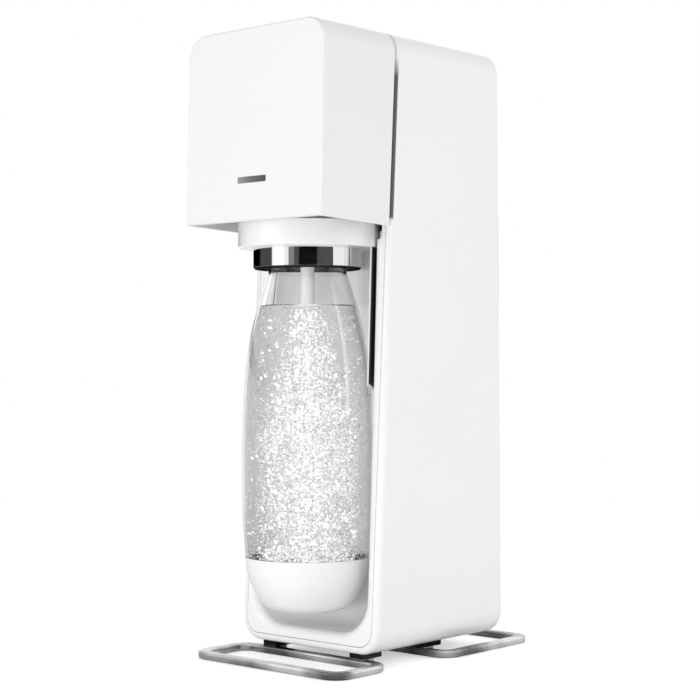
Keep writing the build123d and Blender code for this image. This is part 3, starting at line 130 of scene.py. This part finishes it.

# Painted shade in the seam between the head and the tower's leaning front, which stands a little ahead of
# the bottle's axis
FRONT_LEAN_DEG = 3.15
FRONT_AHEAD = 0.0015
SEAM_PITCH = 250.0
SEAM_RISE_PITCH = 8.0
SEAM_SIDE_X = 0.0575
PAINTED_SEAM_SHADE = 0.10

# Middle of the back rest's wall, from the bottle's axis; beyond it the outside is painted dark as shade
SADDLE_MID_R = 0.0474
SADDLE_PITCH = 500.0

# Ramps up the chrome ring's lower bevel and the feet's tabs, painted dark as reflection: one over the
# height at which the ramp ends
RING_EDGE_PITCH = 400.0
FOOT_TAB_PITCH = 100.0

# Half of the indicator lens, which stands across the middle of the head
LENS_HALF_WIDTH = 0.013

# Dark strips that the chrome ring mirrors: angles from the camera's direction and grey level
STRIPS = [
    (-168, -118, 0.0), (-118, -80, 0.07), (-40, -28, 0.25), (-28, -18, 0.08),
    (-18, 20, 0.0), (20, 55, 0.08), (104, 128, 0.25), (128, 168, 0.02),
]
STRIP_ZERO_DEG = -47.1
STRIP_REACH = 1.6
STRIP_HEIGHT = 0.375
STRIP_TALL = 0.12

# Taller bright card that the bottle mirrors
CARD = (-76, -50, 1.6)
CARD_HEIGHT = 0.42
CARD_TALL = 0.75

# Lamps: place, target, width, height and watts
KEY_LIGHT = ((-0.9, -1.6, 1.3), (0, 0, 0.25), 1.2, 1.2, 1.2)
REAR_LIGHTS = {
    "fill": ((1.3, 1.1, 0.7), (0, 0.05, 0.2), 0.9, 1.0, 8.5),
    "back": ((-1.2, 1.3, 0.8), (0, 0.05, 0.2), 1.0, 1.0, 6.0),
}

# Low lamps under the head: place and watts
LOW_LIGHTS = {
    "low_left": ((-0.45, -1.40, 0.14), 4.8),
    "low_right": ((0.55, -1.15, 0.10), 4.7),
    "low_side": ((1.45, -0.50, 0.10), 2.2),
}
LOW_LIGHT_AIM_Z = 0.13
LOW_LIGHT_WIDTH = 0.5
LOW_LIGHT_HEIGHT = 0.25
WORLD_LIGHT = 0.56
FLOOR_R = 3.0
FLOOR_SIDES = 64
FLOOR_LIFT = 0.45

bottle_low, bottle_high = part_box("bottle")
BOTTLE_Y = (bottle_low.y + bottle_high.y) / 2
BOTTLE_BASE_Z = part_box("base_cup")[0].z
RING_LOW_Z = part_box("chrome_ring")[0].z
HEAD_LOW_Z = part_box("press_shell")[0].z
FRONT_Y = BOTTLE_Y - FRONT_AHEAD


class Wire:
    """One output of a shader node. Arithmetic on it adds Math nodes to its tree."""

    def __init__(self, paint, socket):
        self.paint = paint
        self.socket = socket

    def math(self, operation, *terms):
        """Math node on the given terms."""
        return self.paint.node("ShaderNodeMath", {"operation": operation}, dict(enumerate(terms)))

    def __add__(self, other):
        return self.math("ADD", self, other)

    def __radd__(self, other):
        return self.math("ADD", other, self)

    def __sub__(self, other):
        return self.math("SUBTRACT", self, other)

    def __rsub__(self, other):
        return self.math("SUBTRACT", other, self)

    def __mul__(self, other):
        return self.math("MULTIPLY", self, other)

    def __rmul__(self, other):
        return self.math("MULTIPLY", other, self)

    def __pow__(self, other):
        return self.math("POWER", self, other)

    def __abs__(self):
        return self.math("ABSOLUTE", self)

    def __gt__(self, other):
        return self.math("GREATER_THAN", self, other)

    def __or__(self, other):
        return self.math("MAXIMUM", self, other)


class Paint:
    """A material, or the world, whose nodes are added one call at a time."""

    def __init__(self, name, owner=None):
        self.owner = owner or bpy.data.materials.new(name)
        self.owner.use_nodes = True
        self.tree = self.owner.node_tree
        self.tree.nodes.clear()
        self.place = self.node("ShaderNodeTexCoord", output="Object")

    def node(self, kind, settings=None, inputs=None, output=0):
        """Any node, with its settings, its inputs as values or wires, and one output."""
        made = self.tree.nodes.new(kind)
        for name, value in (settings or {}).items():
            if name == "stops":
                set_stops(made.color_ramp, value)
            else:
                setattr(made, name, value)
        for name, value in (inputs or {}).items():
            if isinstance(value, Wire):
                self.tree.links.new(value.socket, made.inputs[name])
            else:
                made.inputs[name].default_value = value
        return Wire(self, made.outputs[output])

    def noise(self, scale, detail=2.0, stretch=(1, 1, 1)):
        place = self.node("ShaderNodeMapping", {}, {"Vector": self.place, "Scale": stretch})
        return self.node("ShaderNodeTexNoise", {}, {"Vector": place, "Scale": scale, "Detail": detail})

    def blend(self, share, first, second):
        return self.node("ShaderNodeMix", {"data_type": "RGBA"}, {0: share, 6: first, 7: second}, output=2)

    def choose(self, share, first, second):
        """Mix of two shaders."""
        return self.node("ShaderNodeMixShader", {}, {0: share, 1: first, 2: second})

    def ramp(self, share, stops):
        return self.node("ShaderNodeValToRGB", {"stops": stops}, {"Fac": share})

    def bump(self, height, strength, distance):
        inputs = {"Height": height, "Strength": strength, "Distance": distance}
        return self.node("ShaderNodeBump", {}, inputs)

    def along(self, axis):
        return self.node("ShaderNodeSeparateXYZ", {}, {"Vector": self.place}, output=axis)

    def surface(self, inputs):
        return self.finish(self.node("ShaderNodeBsdfPrincipled", {}, inputs))

    def unshadowed(self, shader, colour):
        """Finish whose shadow rays pass through."""
        shade = self.node("ShaderNodeLightPath", output="Is Shadow Ray")
        through = self.node("ShaderNodeBsdfTransparent", {}, {"Color": colour})
        return self.finish(self.choose(shade, shader, through))

    def finish(self, shader, kind="ShaderNodeOutputMaterial"):
        made = self.tree.nodes.new(kind)
        self.tree.links.new(shader.socket, made.inputs["Surface"])
        return self.owner


def set_stops(ramp, stops):
    while len(ramp.elements) < len(stops):
        ramp.elements.new(1.0)
    for element, (position, colour) in zip(ramp.elements, stops):
        element.position = position
        element.color = colour


def grey(level):
    return (level, level, level, 1.0)


def gloss_white(name, light, dark, shade=None):
    """Moulded white plastic: faint cloudiness, a fine orange peel and a hard gloss; painted shade where a
    shade mask is given.
    """
    paint = Paint(name)
    cloud = paint.noise(14.0, 3.0)
    peel = paint.noise(1100.0, 1.0)
    colour = paint.blend(cloud, grey(light), grey(dark))
    return paint.surface({
        "Base Color": paint.blend(shade(paint), colour, grey(PAINTED_SEAM_SHADE)) if shade else colour,
        "Roughness": 0.16 + cloud * 0.08,
        "Normal": paint.bump(peel, 0.05, 0.0001),
        "IOR": 1.5,
        "Coat Weight": 0.25,
        "Coat Roughness": 0.06,
    })


def seam_shade(paint):
    """Share of shade on the tower's front edges, in the seam beside the head."""
    lean = math.radians(FRONT_LEAN_DEG)
    ahead = (paint.along("Y") - FRONT_Y) * math.cos(lean) - paint.along("Z") * math.sin(lean)
    near = paint.ramp(ahead * SEAM_PITCH, [(0.40, grey(1.0)), (0.55, grey(0.0))])
    beside = abs(paint.along("X")) > SEAM_SIDE_X
    rise = (paint.along("Z") - HEAD_LOW_Z) * SEAM_RISE_PITCH
    span = paint.ramp(rise, [(0.03, grey(0.0)), (0.05, grey(1.0)), (0.80, grey(1.0)), (0.90, grey(0.0))])
    return near * beside * span


def satin_plastic(name, light, dark, roughness, grain_scale):
    """Textured plastic of the inner pieces."""
    paint = Paint(name)
    cloud = paint.noise(30.0, 2.0)
    grain = paint.noise(grain_scale, 2.0)
    return paint.surface({
        "Base Color": paint.blend(cloud, light, dark),
        "Roughness": roughness + grain * 0.15,
        "Normal": paint.bump(grain, 0.2, 0.0001),
    })


def brushed_steel(name, light, dark, roughness, stretch):
    """Steel with fine drawing lines along one axis."""
    paint = Paint(name)
    lines = paint.noise(260.0, 4.0, stretch)
    cloud = paint.noise(25.0, 2.0)
    return paint.surface({
        "Base Color": paint.blend(lines, light, dark),
        "Metallic": 1.0,
        "Roughness": roughness + lines * 0.12 + cloud * 0.06,
        "Normal": paint.bump(lines, 0.12, 0.0001),
    })


def foot_steel(name):
    """Polished bar with broad light and dark streaks painted in as reflections, and tabs painted dark as
    reflection.
    """
    paint = Paint(name)
    reflection_streak = paint.noise(38.0, 2.0, (0.5, 1.0, 1.0))
    bar = paint.ramp(reflection_streak, [(0.38, grey(0.16)), (0.50, grey(0.50)), (0.62, grey(0.80))])
    painted_tab_reflection = paint.ramp(paint.along("Z") * FOOT_TAB_PITCH, [(0.50, grey(0.0)), (0.54, grey(1.0))])
    return paint.surface({
        "Base Color": paint.blend(painted_tab_reflection, bar, grey(0.03)),
        "Metallic": 1.0,
        "Roughness": 0.14 + reflection_streak * 0.15,
    })


def chrome_plate(name):
    """Bright chrome with a painted dark reflection along its lower bevel."""
    paint = Paint(name)
    smear = paint.noise(60.0, 3.0)
    plate = paint.blend(smear, (0.86, 0.86, 0.87, 1), (0.80, 0.80, 0.81, 1))
    rise = (paint.along("Z") - RING_LOW_Z) * RING_EDGE_PITCH
    edge = paint.ramp(rise, [(0.40, grey(1.0)), (0.55, grey(0.0))])
    body = paint.node("ShaderNodeBsdfPrincipled", {}, {
        "Base Color": plate,
        "Metallic": 1.0,
        "Roughness": 0.035 + smear * 0.03,
    })
    # Painted dark reflection: a black diffuse in place of the chrome along the lower bevel.
    bevel = paint.node("ShaderNodeBsdfDiffuse", {}, {"Color": grey(0.02)})
    return paint.finish(paint.choose(edge, body, bevel))


def turned_brass(name):
    paint = Paint(name)
    rings = paint.noise(320.0, 3.0, (0.15, 0.15, 1.0))
    return paint.surface({
        "Base Color": paint.blend(rings, (0.78, 0.60, 0.28, 1), (0.62, 0.45, 0.18, 1)),
        "Metallic": 1.0,
        "Roughness": 0.26 + rings * 0.15,
        "Normal": paint.bump(rings, 0.15, 0.0001),
    })


def rubber(name, light, dark):
    paint = Paint(name)
    dust = paint.noise(180.0, 3.0)
    return paint.surface({
        "Base Color": paint.blend(dust, light, dark),
        "Roughness": 0.55 + dust * 0.25,
        "Normal": paint.bump(dust, 0.25, 0.0002),
    })


def clear_wall(name, colour, roughness, refraction, edge_shade):
    """Clear plastic or water that bends what is behind it and throws hardly any shadow; its tint darkens
    towards grazing edges, partly for the longer path through it and partly as painted shade.
    """
    paint = Paint(name)
    haze = paint.noise(40.0, 2.0)
    edge = paint.node("ShaderNodeLayerWeight", {}, {"Blend": 0.5}, output="Facing")
    body = paint.node("ShaderNodeBsdfPrincipled", {}, {
        "Base Color": paint.blend(edge ** 3, colour, edge_shade),
        "Roughness": roughness + haze * 0.01,
        "Transmission Weight": 1.0,
        "IOR": refraction,
    })
    return paint.unshadowed(body, colour)


def bubble_white(name):
    """Small bubbles that scatter the light, with a painted glow of their own."""
    paint = Paint(name)
    spark = paint.noise(500.0, 2.0)
    body = paint.node("ShaderNodeBsdfPrincipled", {}, {
        "Base Color": paint.blend(spark, grey(0.97), grey(0.80)),
        "Roughness": 0.12 + spark * 0.2,
        "Emission Color": grey(1.0),
        "Emission Strength": PAINTED_BUBBLE_GLOW,
    })
    return paint.unshadowed(body, grey(0.98))


def indicator_grey(name, half_width):
    """Dark lens with a painted highlight at its left end, fading to dark at the right."""
    paint = Paint(name)
    across = paint.along("X") * (0.5 / half_width) + 0.5
    grain = paint.noise(600.0, 2.0)
    return paint.surface({
        "Base Color": paint.ramp(across, [(0.0, grey(0.34)), (0.45, grey(0.16)), (1.0, grey(0.07))]),
        "Metallic": 0.6,
        "Roughness": 0.25 + grain * 0.1,
    })


def shade_backed_satin(name):
    """Satin white inside the holder's curved back rest, with painted shade, near black, on its outside to
    darken the slit beside it.
    """
    paint = Paint(name)
    flat = paint.node("ShaderNodeVectorMath", {"operation": "MULTIPLY"}, {0: paint.place, 1: (1, 1, 0)})
    away = paint.node(
        "ShaderNodeVectorMath", {"operation": "DISTANCE"}, {0: flat, 1: (0, BOTTLE_Y, 0)}, output="Value"
    )
    grain = paint.noise(900.0, 2.0)
    back = paint.ramp((away - SADDLE_MID_R) * SADDLE_PITCH + 0.5, [(0.45, grey(0.0)), (0.55, grey(1.0))])
    return paint.surface({
        "Base Color": paint.blend(back, grey(0.84), grey(0.012)),
        "Roughness": 0.4 + grain * 0.15,
        "Normal": paint.bump(grain, 0.2, 0.0001),
    })


FINISHES = {
    "white_gloss_plastic": gloss_white("gloss_white", 0.88, 0.86),
    "white_satin_plastic": satin_plastic("satin_white", grey(0.86), grey(0.82), 0.42, 900.0),
    "foot_steel": foot_steel("foot_bar_painted_reflections"),
    "chrome": chrome_plate("chrome"),
    "plain_steel": brushed_steel("plain_steel", grey(0.60), grey(0.48), 0.28, (1.0, 1.0, 0.1)),
    "frame_plastic": satin_plastic("frame_grey", grey(0.10), grey(0.07), 0.5, 700.0),
    "brass": turned_brass("brass"),
    "cylinder_paint": satin_plastic(
        "cylinder_paint", (0.42, 0.45, 0.48, 1), (0.36, 0.39, 0.42, 1), 0.3, 500.0
    ),
    "rubber": rubber("black_rubber", grey(0.03), grey(0.015)),
    "seal_rubber": rubber("grey_silicone", grey(0.42), grey(0.34)),
    "button_plastic": satin_plastic("button_grey", grey(0.42), grey(0.36), 0.4, 900.0),
    "lens_plastic": indicator_grey("indicator_lens", LENS_HALF_WIDTH),
    "circuit_board": satin_plastic(
        "board_green", (0.02, 0.12, 0.04, 1), (0.015, 0.08, 0.03, 1), 0.35, 600.0
    ),
    # Last colour of each clear finish: darker tint at grazing edges, partly painted shade.
    "clear_plastic": clear_wall("clear_bottle", grey(0.995), 0.0, 1.45, (0.42, 0.41, 0.39, 1)),
}
WATER = clear_wall("water", grey(0.998), 0.0, 1.33, (0.58, 0.57, 0.54, 1))
BUBBLE_WHITE = bubble_white("bubble_white")
BUBBLE_AIR = clear_wall("bubble_air", grey(0.99), 0.0, AIR_IN_WATER, grey(0.75))


def dress_cad_nodes():
    """Every node carried over from the solids gets the finish of its slot."""
    for subpart in frame["record"]["subparts"]:
        node = frame["nodes"][subpart["node"]]
        node.data.materials.clear()
        node.data.materials.append(FINISHES[subpart["material_slot"]])
    own_finishes = {
        "cradle_saddle": shade_backed_satin("back_rest_painted_shade"),
        # The tower's white has painted shade on its front edges in the seam beside the head.
        "tower_shell": gloss_white("tower_white_painted_seam_shade", 0.88, 0.86, seam_shade),
        # The head's white is a darker copy of the tower's: painted shade.
        "press_shell": gloss_white("head_white_painted_shade", 0.835, 0.815),
    }
    for name, finish in own_finishes.items():
        frame["nodes"][name].data.materials[0] = finish


def new_piece(name, add, **settings):
    """A primitive added alone in the selection, with its place kept in its mesh."""
    bpy.ops.object.select_all(action="DESELECT")
    add(**settings)
    piece = bpy.context.object
    piece.name = name
    bpy.ops.object.transform_apply(location=True, rotation=True, scale=True)
    return piece


def finish_piece(piece, body, material, angle_deg):
    """Outward normals, smooth shading, a finish and the body that the piece moves with."""
    bpy.ops.object.select_all(action="DESELECT")
    piece.select_set(True)
    bpy.context.view_layer.objects.active = piece
    bpy.ops.object.mode_set(mode="EDIT")
    bpy.ops.mesh.select_all(action="SELECT")
    bpy.ops.mesh.normals_make_consistent(inside=False)
    bpy.ops.object.mode_set(mode="OBJECT")
    bpy.ops.object.shade_smooth_by_angle(angle=math.radians(angle_deg))
    piece.data.materials.clear()
    piece.data.materials.append(material)
    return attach(piece, body)


def smooth_line(points, steps):
    """Points along a smooth curve through the given points."""
    ends = [points[0]] + points + [points[-1]]
    line = []
    for before, start, end, after in zip(ends, ends[1:], ends[2:], ends[3:]):
        for step in range(steps):
            line.append(spline_point(before, start, end, after, step / steps))
    return line + [points[-1]]


def spline_point(before, start, end, after, share):
    """Catmull-Rom point between start and end."""
    place = []
    for a, b, c, d in zip(before, start, end, after):
        bend = 2 * a - 5 * b + 4 * c - d
        twist = 3 * b - a - 3 * c + d
        place.append(b + 0.5 * share * (c - a + share * (bend + share * twist)))
    return tuple(place)


def turned(name, line):
    """Round piece about the bottle's axis through (radius, height) points, closed flat at both ends."""
    radius, height = line[0]
    centre = (0, BOTTLE_Y, BOTTLE_BASE_Z + height)
    piece = new_piece(
        name, bpy.ops.mesh.primitive_circle_add, vertices=LATHE_SIDES, radius=radius,
        fill_type="NGON", location=centre,
    )
    bpy.ops.object.mode_set(mode="EDIT")
    bpy.ops.mesh.select_all(action="SELECT")
    bpy.ops.mesh.region_to_loop()
    for (last_radius, last_height), (radius, height) in zip(line, line[1:]):
        move = {"value": (0, 0, height - last_height)}
        bpy.ops.mesh.extrude_edges_move(TRANSFORM_OT_translate=move)
        grow = radius / last_radius
        centre = (0, BOTTLE_Y, BOTTLE_BASE_Z + height)
        bpy.ops.transform.resize(value=(grow, grow, 1), center_override=centre)
    bpy.ops.mesh.edge_face_add()
    bpy.ops.object.mode_set(mode="OBJECT")
    return piece


def bottle_outside():
    return BOTTLE_FOOT + smooth_line(BOTTLE_SIDE, BOTTLE_STEPS)


def bottle_inside(inset):
    """The bottle's outside drawn in by inset, up to under its mouth."""
    low = BOTTLE_FOOT[0][1] + inset
    line = [(radius - inset, max(height, low)) for radius, height in bottle_outside()]
    return [point for point in line if point[1] < BOTTLE_SIDE[-1][1]]


def bottle():
    mouth_radius, mouth_height = BOTTLE_SIDE[-1]
    lip = [
        (mouth_radius, mouth_height + LIP_ROUND),
        (mouth_radius - LIP_ROUND, mouth_height + LIP_HEIGHT),
        (mouth_radius - BOTTLE_WALL + LIP_ROUND, mouth_height + LIP_HEIGHT),
        (mouth_radius - BOTTLE_WALL, mouth_height + LIP_ROUND),
    ]
    line = bottle_outside() + lip + bottle_inside(BOTTLE_WALL)[::-1]
    piece = turned("bottle_clear", line)
    finish_piece(piece, "bottle", FINISHES["clear_plastic"], 40)
    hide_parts("bottle")


def water():
    """The water, with its edge drawn up where it meets the wall."""
    sides = [p for p in bottle_inside(BOTTLE_WALL + WATER_GAP) if p[1] < WATER_HEIGHT]
    edge = bottle_radius(WATER_HEIGHT + MENISCUS) - BOTTLE_WALL - WATER_GAP
    top = [
        (edge, WATER_HEIGHT + MENISCUS),
        (edge - MENISCUS_STEEP, WATER_HEIGHT + 0.4 * MENISCUS),
        (edge - MENISCUS_REACH, WATER_HEIGHT),
        (WATER_MIDDLE_R, WATER_HEIGHT),
    ]
    piece = turned("water", sides + top)
    finish_piece(piece, "bottle", WATER, 40)


def bottle_radius(height):
    """Half-width of the bottle at a height over its base."""
    line = bottle_outside()
    for (low_radius, low), (high_radius, high) in zip(line, line[1:]):
        if low <= height <= high:
            return low_radius + (high_radius - low_radius) * (height - low) / (high - low)
    return BOTTLE_SIDE[-1][0]


def bubble_places(chance, count):
    """Places in the water: a plume that widens downwards, some strays, and froth over the foot."""
    places = []
    while len(places) < count:
        froth = chance.random() < FROTH_SHARE
        top = BUBBLE_LOW + FROTH_HEIGHT if froth else WATER_HEIGHT - BUBBLE_TOP_GAP
        height = chance.uniform(BUBBLE_LOW, top)
        reach = bottle_radius(height) - BOTTLE_WALL - BUBBLE_WALL_GAP
        if chance.random() > STRAY_BUBBLES:
            reach = min(PLUME_SHARE * reach, PLUME_START_R + PLUME_SPREAD * (WATER_HEIGHT - height))
        away = reach * chance.random() ** (0.5 if froth else 0.65)
        turn = chance.uniform(0, 2 * math.pi)
        if chance.random() < PLUME_THIN + (reach / BOTTLE_WIDEST_R) ** 1.5:
            x, y = away * math.cos(turn), BOTTLE_Y + away * math.sin(turn)
            places.append((x, y, BOTTLE_BASE_Z + height))
    return places


def bubbles(name, count, least, most, material, seed):
    """Many copies of one small ball, joined and then repeated around the bottle's axis."""
    chance = random.Random(seed)
    if most > FINE_BUBBLE_R:
        add, settings = bpy.ops.mesh.primitive_uv_sphere_add, {"segments": 8, "ring_count": 5}
    else:
        add, settings = bpy.ops.mesh.primitive_ico_sphere_add, {"subdivisions": 1}
    ball = new_piece("ball", add, radius=1.0, **settings)
    copies = []
    for place in bubble_places(chance, count):
        size = least + (most - least) * chance.random() ** 2
        tall = size * chance.choice(BUBBLE_STRETCHES)
        lean = [chance.uniform(-BUBBLE_LEAN, BUBBLE_LEAN) for axis in "xy"]
        leaning = Euler((*lean, 0)).to_matrix().to_4x4()
        copy = bpy.data.objects.new(name, ball.data.copy())
        copy.data.transform(Matrix.Translation(place) @ leaning @ Matrix.Diagonal((size, size, tall, 1)))
        bpy.context.scene.collection.objects.link(copy)
        copies.append(copy)
    bpy.data.objects.remove(ball)
    bpy.ops.object.select_all(action="DESELECT")
    for copy in copies:
        copy.select_set(True)
    bpy.context.view_layer.objects.active = copies[0]
    bpy.ops.object.join()
    bpy.ops.object.mode_set(mode="EDIT")
    for turn_deg, rise in BUBBLE_REPEATS:
        turn = math.radians(turn_deg)
        bpy.ops.mesh.select_all(action="SELECT")
        bpy.ops.mesh.duplicate()
        bpy.ops.transform.rotate(value=turn, orient_axis="Z", center_override=(0, BOTTLE_Y, 0))
        bpy.ops.transform.translate(value=(0, 0, rise))
    bpy.ops.object.mode_set(mode="OBJECT")
    finish_piece(copies[0], "bottle", material, 180)


def coil(name, place, radius, length, turns, wire):
    """Helical spring standing at a place, wound by a screw modifier."""
    piece = new_piece(
        name, bpy.ops.mesh.primitive_circle_add, vertices=COIL_SIDES, radius=wire, fill_type="NOTHING",
        location=(radius - wire, 0, wire), rotation=(math.radians(90), 0, 0),
    )
    winding = piece.modifiers.new("winding", "SCREW")
    winding.iterations = turns
    winding.screw_offset = (length - 2 * wire) / turns
    winding.steps = COIL_STEPS
    winding.render_steps = COIL_STEPS
    bpy.ops.object.modifier_apply(modifier="winding")
    bpy.ops.object.mode_set(mode="EDIT")
    bpy.ops.mesh.select_all(action="DESELECT")
    bpy.ops.mesh.select_non_manifold()
    bpy.ops.mesh.fill()
    bpy.ops.mesh.select_all(action="SELECT")
    bpy.ops.transform.translate(value=place)
    bpy.ops.object.mode_set(mode="OBJECT")
    return piece


def springs():
    """Every coil of a spring's solid, wound to the solid's full length."""
    for node, (body, turns, wire, joint, keep) in SPRINGS.items():
        low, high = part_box(node)
        radius = (high.y - low.y) / 2
        across = {round(low.x + radius, 6), round(high.x - radius, 6)}
        for number, x in enumerate(sorted(across)):
            place = (x, (low.y + high.y) / 2, low.z)
            piece = coil(f"{node}_coil_{number}", place, radius, high.z - low.z, turns, wire)
            finish_piece(piece, body, FINISHES["plain_steel"], 60)
            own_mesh(piece)
            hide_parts(node)


def rounded_route(corners, bends):
    """Corner points of a route with an arc of short straight steps at each bend."""
    route = [corners[0]]
    for before, corner, after, bend in zip(corners, corners[1:], corners[2:], bends):
        back = (before - corner).normalized()
        on = (after - corner).normalized()
        start, middle, end = corner + back * bend, corner + (back + on) * bend, corner + on * bend
        for step in range(BEND_STEPS + 1):
            turn = math.radians(90 * step / BEND_STEPS)
            route.append(middle + (start - middle) * math.cos(turn) + (end - middle) * math.sin(turn))
    return route + [corners[-1]]


def hose():
    """Gas hose from the valve block along the frame and down to the bottle holder."""
    low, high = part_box("gas_hose")
    run_y, run_z = high.y - HOSE_RUN_SETBACK, high.z - HOSE_R
    drop_x, end_z = low.x + HOSE_R, low.z + HOSE_R
    corners = [
        Vector((0, high.y, run_z)), Vector((0, run_y, run_z)), Vector((drop_x, run_y, run_z)),
        Vector((drop_x, run_y, end_z)), Vector((drop_x, low.y, end_z)),
    ]
    route = rounded_route(corners, HOSE_BENDS)
    path = bpy.data.curves.new("gas_hose_tube", "CURVE")
    path.dimensions = "3D"
    path.bevel_depth = HOSE_R
    path.bevel_resolution = 5
    path.use_fill_caps = True
    line = path.splines.new("POLY")
    line.points.add(len(route) - 1)
    for point, place in zip(line.points, route):
        point.co = (*place, 1.0)
    piece = bpy.data.objects.new("gas_hose_tube", path)
    bpy.context.scene.collection.objects.link(piece)
    bpy.ops.object.select_all(action="DESELECT")
    piece.select_set(True)
    bpy.context.view_layer.objects.active = piece
    bpy.ops.object.convert(target="MESH")
    finish_piece(piece, "base", FINISHES["rubber"], 60)
    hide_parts("gas_hose")


def camera():
    """The photograph's view."""
    turn, tilt = math.radians(CAMERA_TURN_DEG), math.radians(CAMERA_TILT_DEG)
    ahead = Vector((-math.sin(turn) * math.cos(tilt), math.cos(turn) * math.cos(tilt), math.sin(tilt)))
    data = bpy.data.cameras.new("photo_camera")
    data.lens = CAMERA_LENS
    data.sensor_width = CAMERA_SENSOR
    data.clip_start = 0.01
    taker = bpy.data.objects.new("photo_camera", data)
    taker.location = Vector((0, BOTTLE_Y, 0)) + Vector(CAMERA_FROM_BOTTLE)
    taker.rotation_mode = "QUATERNION"
    taker.rotation_quaternion = ahead.to_track_quat("-Z", "Y")
    bpy.context.scene.collection.objects.link(taker)
    bpy.context.scene.camera = taker


def area_light(name, place, target, width, height, power):
    data = bpy.data.lights.new(name, "AREA")
    data.shape = "RECTANGLE"
    data.size = width
    data.size_y = height
    data.energy = power
    lamp = bpy.data.objects.new(name, data)
    lamp.location = place
    lamp.rotation_mode = "QUATERNION"
    lamp.rotation_quaternion = (Vector(target) - Vector(place)).to_track_quat("-Z", "Y")
    bpy.context.scene.collection.objects.link(lamp)
    return lamp


def world():
    """White to the camera, to gloss and through glass; softer studio light for the rest."""
    sky = Paint("studio", bpy.data.worlds.new("studio"))
    kinds = ("Is Camera Ray", "Is Glossy Ray", "Is Transmission Ray")
    camera_ray, glossy_ray, clear_ray = [sky.node("ShaderNodeLightPath", output=kind) for kind in kinds]
    seen = camera_ray | glossy_ray | clear_ray
    lighting = sky.node("ShaderNodeBackground", {}, {"Color": grey(WORLD_LIGHT)})
    white = sky.node("ShaderNodeBackground", {}, {"Color": grey(1.0)})
    bpy.context.scene.world = sky.finish(sky.choose(seen, lighting, white), "ShaderNodeOutputWorld")


def reflection_strip(name, start_deg, end_deg, level, height=STRIP_HEIGHT, tall=STRIP_TALL):
    """Upright strip beside the camera's direction that shows only in glossy surfaces."""
    middle = math.radians((start_deg + end_deg) / 2 + STRIP_ZERO_DEG)
    width = 2 * STRIP_REACH * math.tan(math.radians((end_deg - start_deg) / 2))
    place = (STRIP_REACH * math.cos(middle), BOTTLE_Y + STRIP_REACH * math.sin(middle), height)
    bpy.ops.object.select_all(action="DESELECT")
    bpy.ops.mesh.primitive_plane_add(
        size=1.0, location=place, rotation=(math.radians(90), 0, middle + math.radians(90))
    )
    strip = bpy.context.object
    strip.name = name
    strip.scale = (width, tall, 1)
    paint = Paint(name)
    glow = paint.node("ShaderNodeEmission", {}, {"Color": grey(1.0), "Strength": level})
    strip.data.materials.append(paint.finish(glow))
    strip.visible_camera = False
    strip.visible_diffuse = False
    strip.visible_transmission = False
    strip.visible_shadow = False


def floor():
    """Pale floor that fades into the white behind it."""
    bpy.ops.object.select_all(action="DESELECT")
    bpy.ops.mesh.primitive_circle_add(
        vertices=FLOOR_SIDES, radius=FLOOR_R, fill_type="NGON", location=(0, 0, 0)
    )
    ground = bpy.context.object
    ground.name = "floor"
    paint = Paint("floor_white")
    reach = paint.node("ShaderNodeVectorMath", {"operation": "LENGTH"}, {0: paint.place}, output="Value")
    edge = paint.ramp(reach * 0.5, [(0.15, grey(0.0)), (0.6, grey(1.0))])
    lit = paint.node("ShaderNodeBsdfDiffuse", {}, {"Color": grey(0.86)})
    seen = paint.node("ShaderNodeLightPath", output="Is Camera Ray")
    lift = paint.node("ShaderNodeEmission", {}, {"Color": grey(1.0), "Strength": FLOOR_LIFT})
    lifted = paint.node("ShaderNodeAddShader", {}, {0: lit, 1: lift})
    clear = paint.node("ShaderNodeBsdfTransparent")
    ground.data.materials.append(paint.finish(paint.choose(edge, paint.choose(seen, lit, lifted), clear)))


dress_cad_nodes()
bottle()
water()
for clusters, finish in ((WHITE_BUBBLES, BUBBLE_WHITE), (AIR_BUBBLES, BUBBLE_AIR)):
    for cluster, (count, least, most) in clusters.items():
        bubbles(cluster, count, least, most, finish, BUBBLE_SEED + count)
springs()
hose()
world()
floor()
for number, strip in enumerate(STRIPS):
    reflection_strip(f"strip_{number}", *strip)
reflection_strip("card", *CARD, CARD_HEIGHT, CARD_TALL)
area_light("key", *KEY_LIGHT)
for name, settings in REAR_LIGHTS.items():
    rear_light = area_light(name, *settings)
    rear_light.visible_glossy = False
for name, (place, power) in LOW_LIGHTS.items():
    aim = (0, BOTTLE_Y, LOW_LIGHT_AIM_Z)
    low_light = area_light(name, place, aim, LOW_LIGHT_WIDTH, LOW_LIGHT_HEIGHT, power)
    low_light.visible_glossy = False
    low_light.visible_transmission = False
camera()

bpy.context.scene.view_settings.view_transform = "Standard"
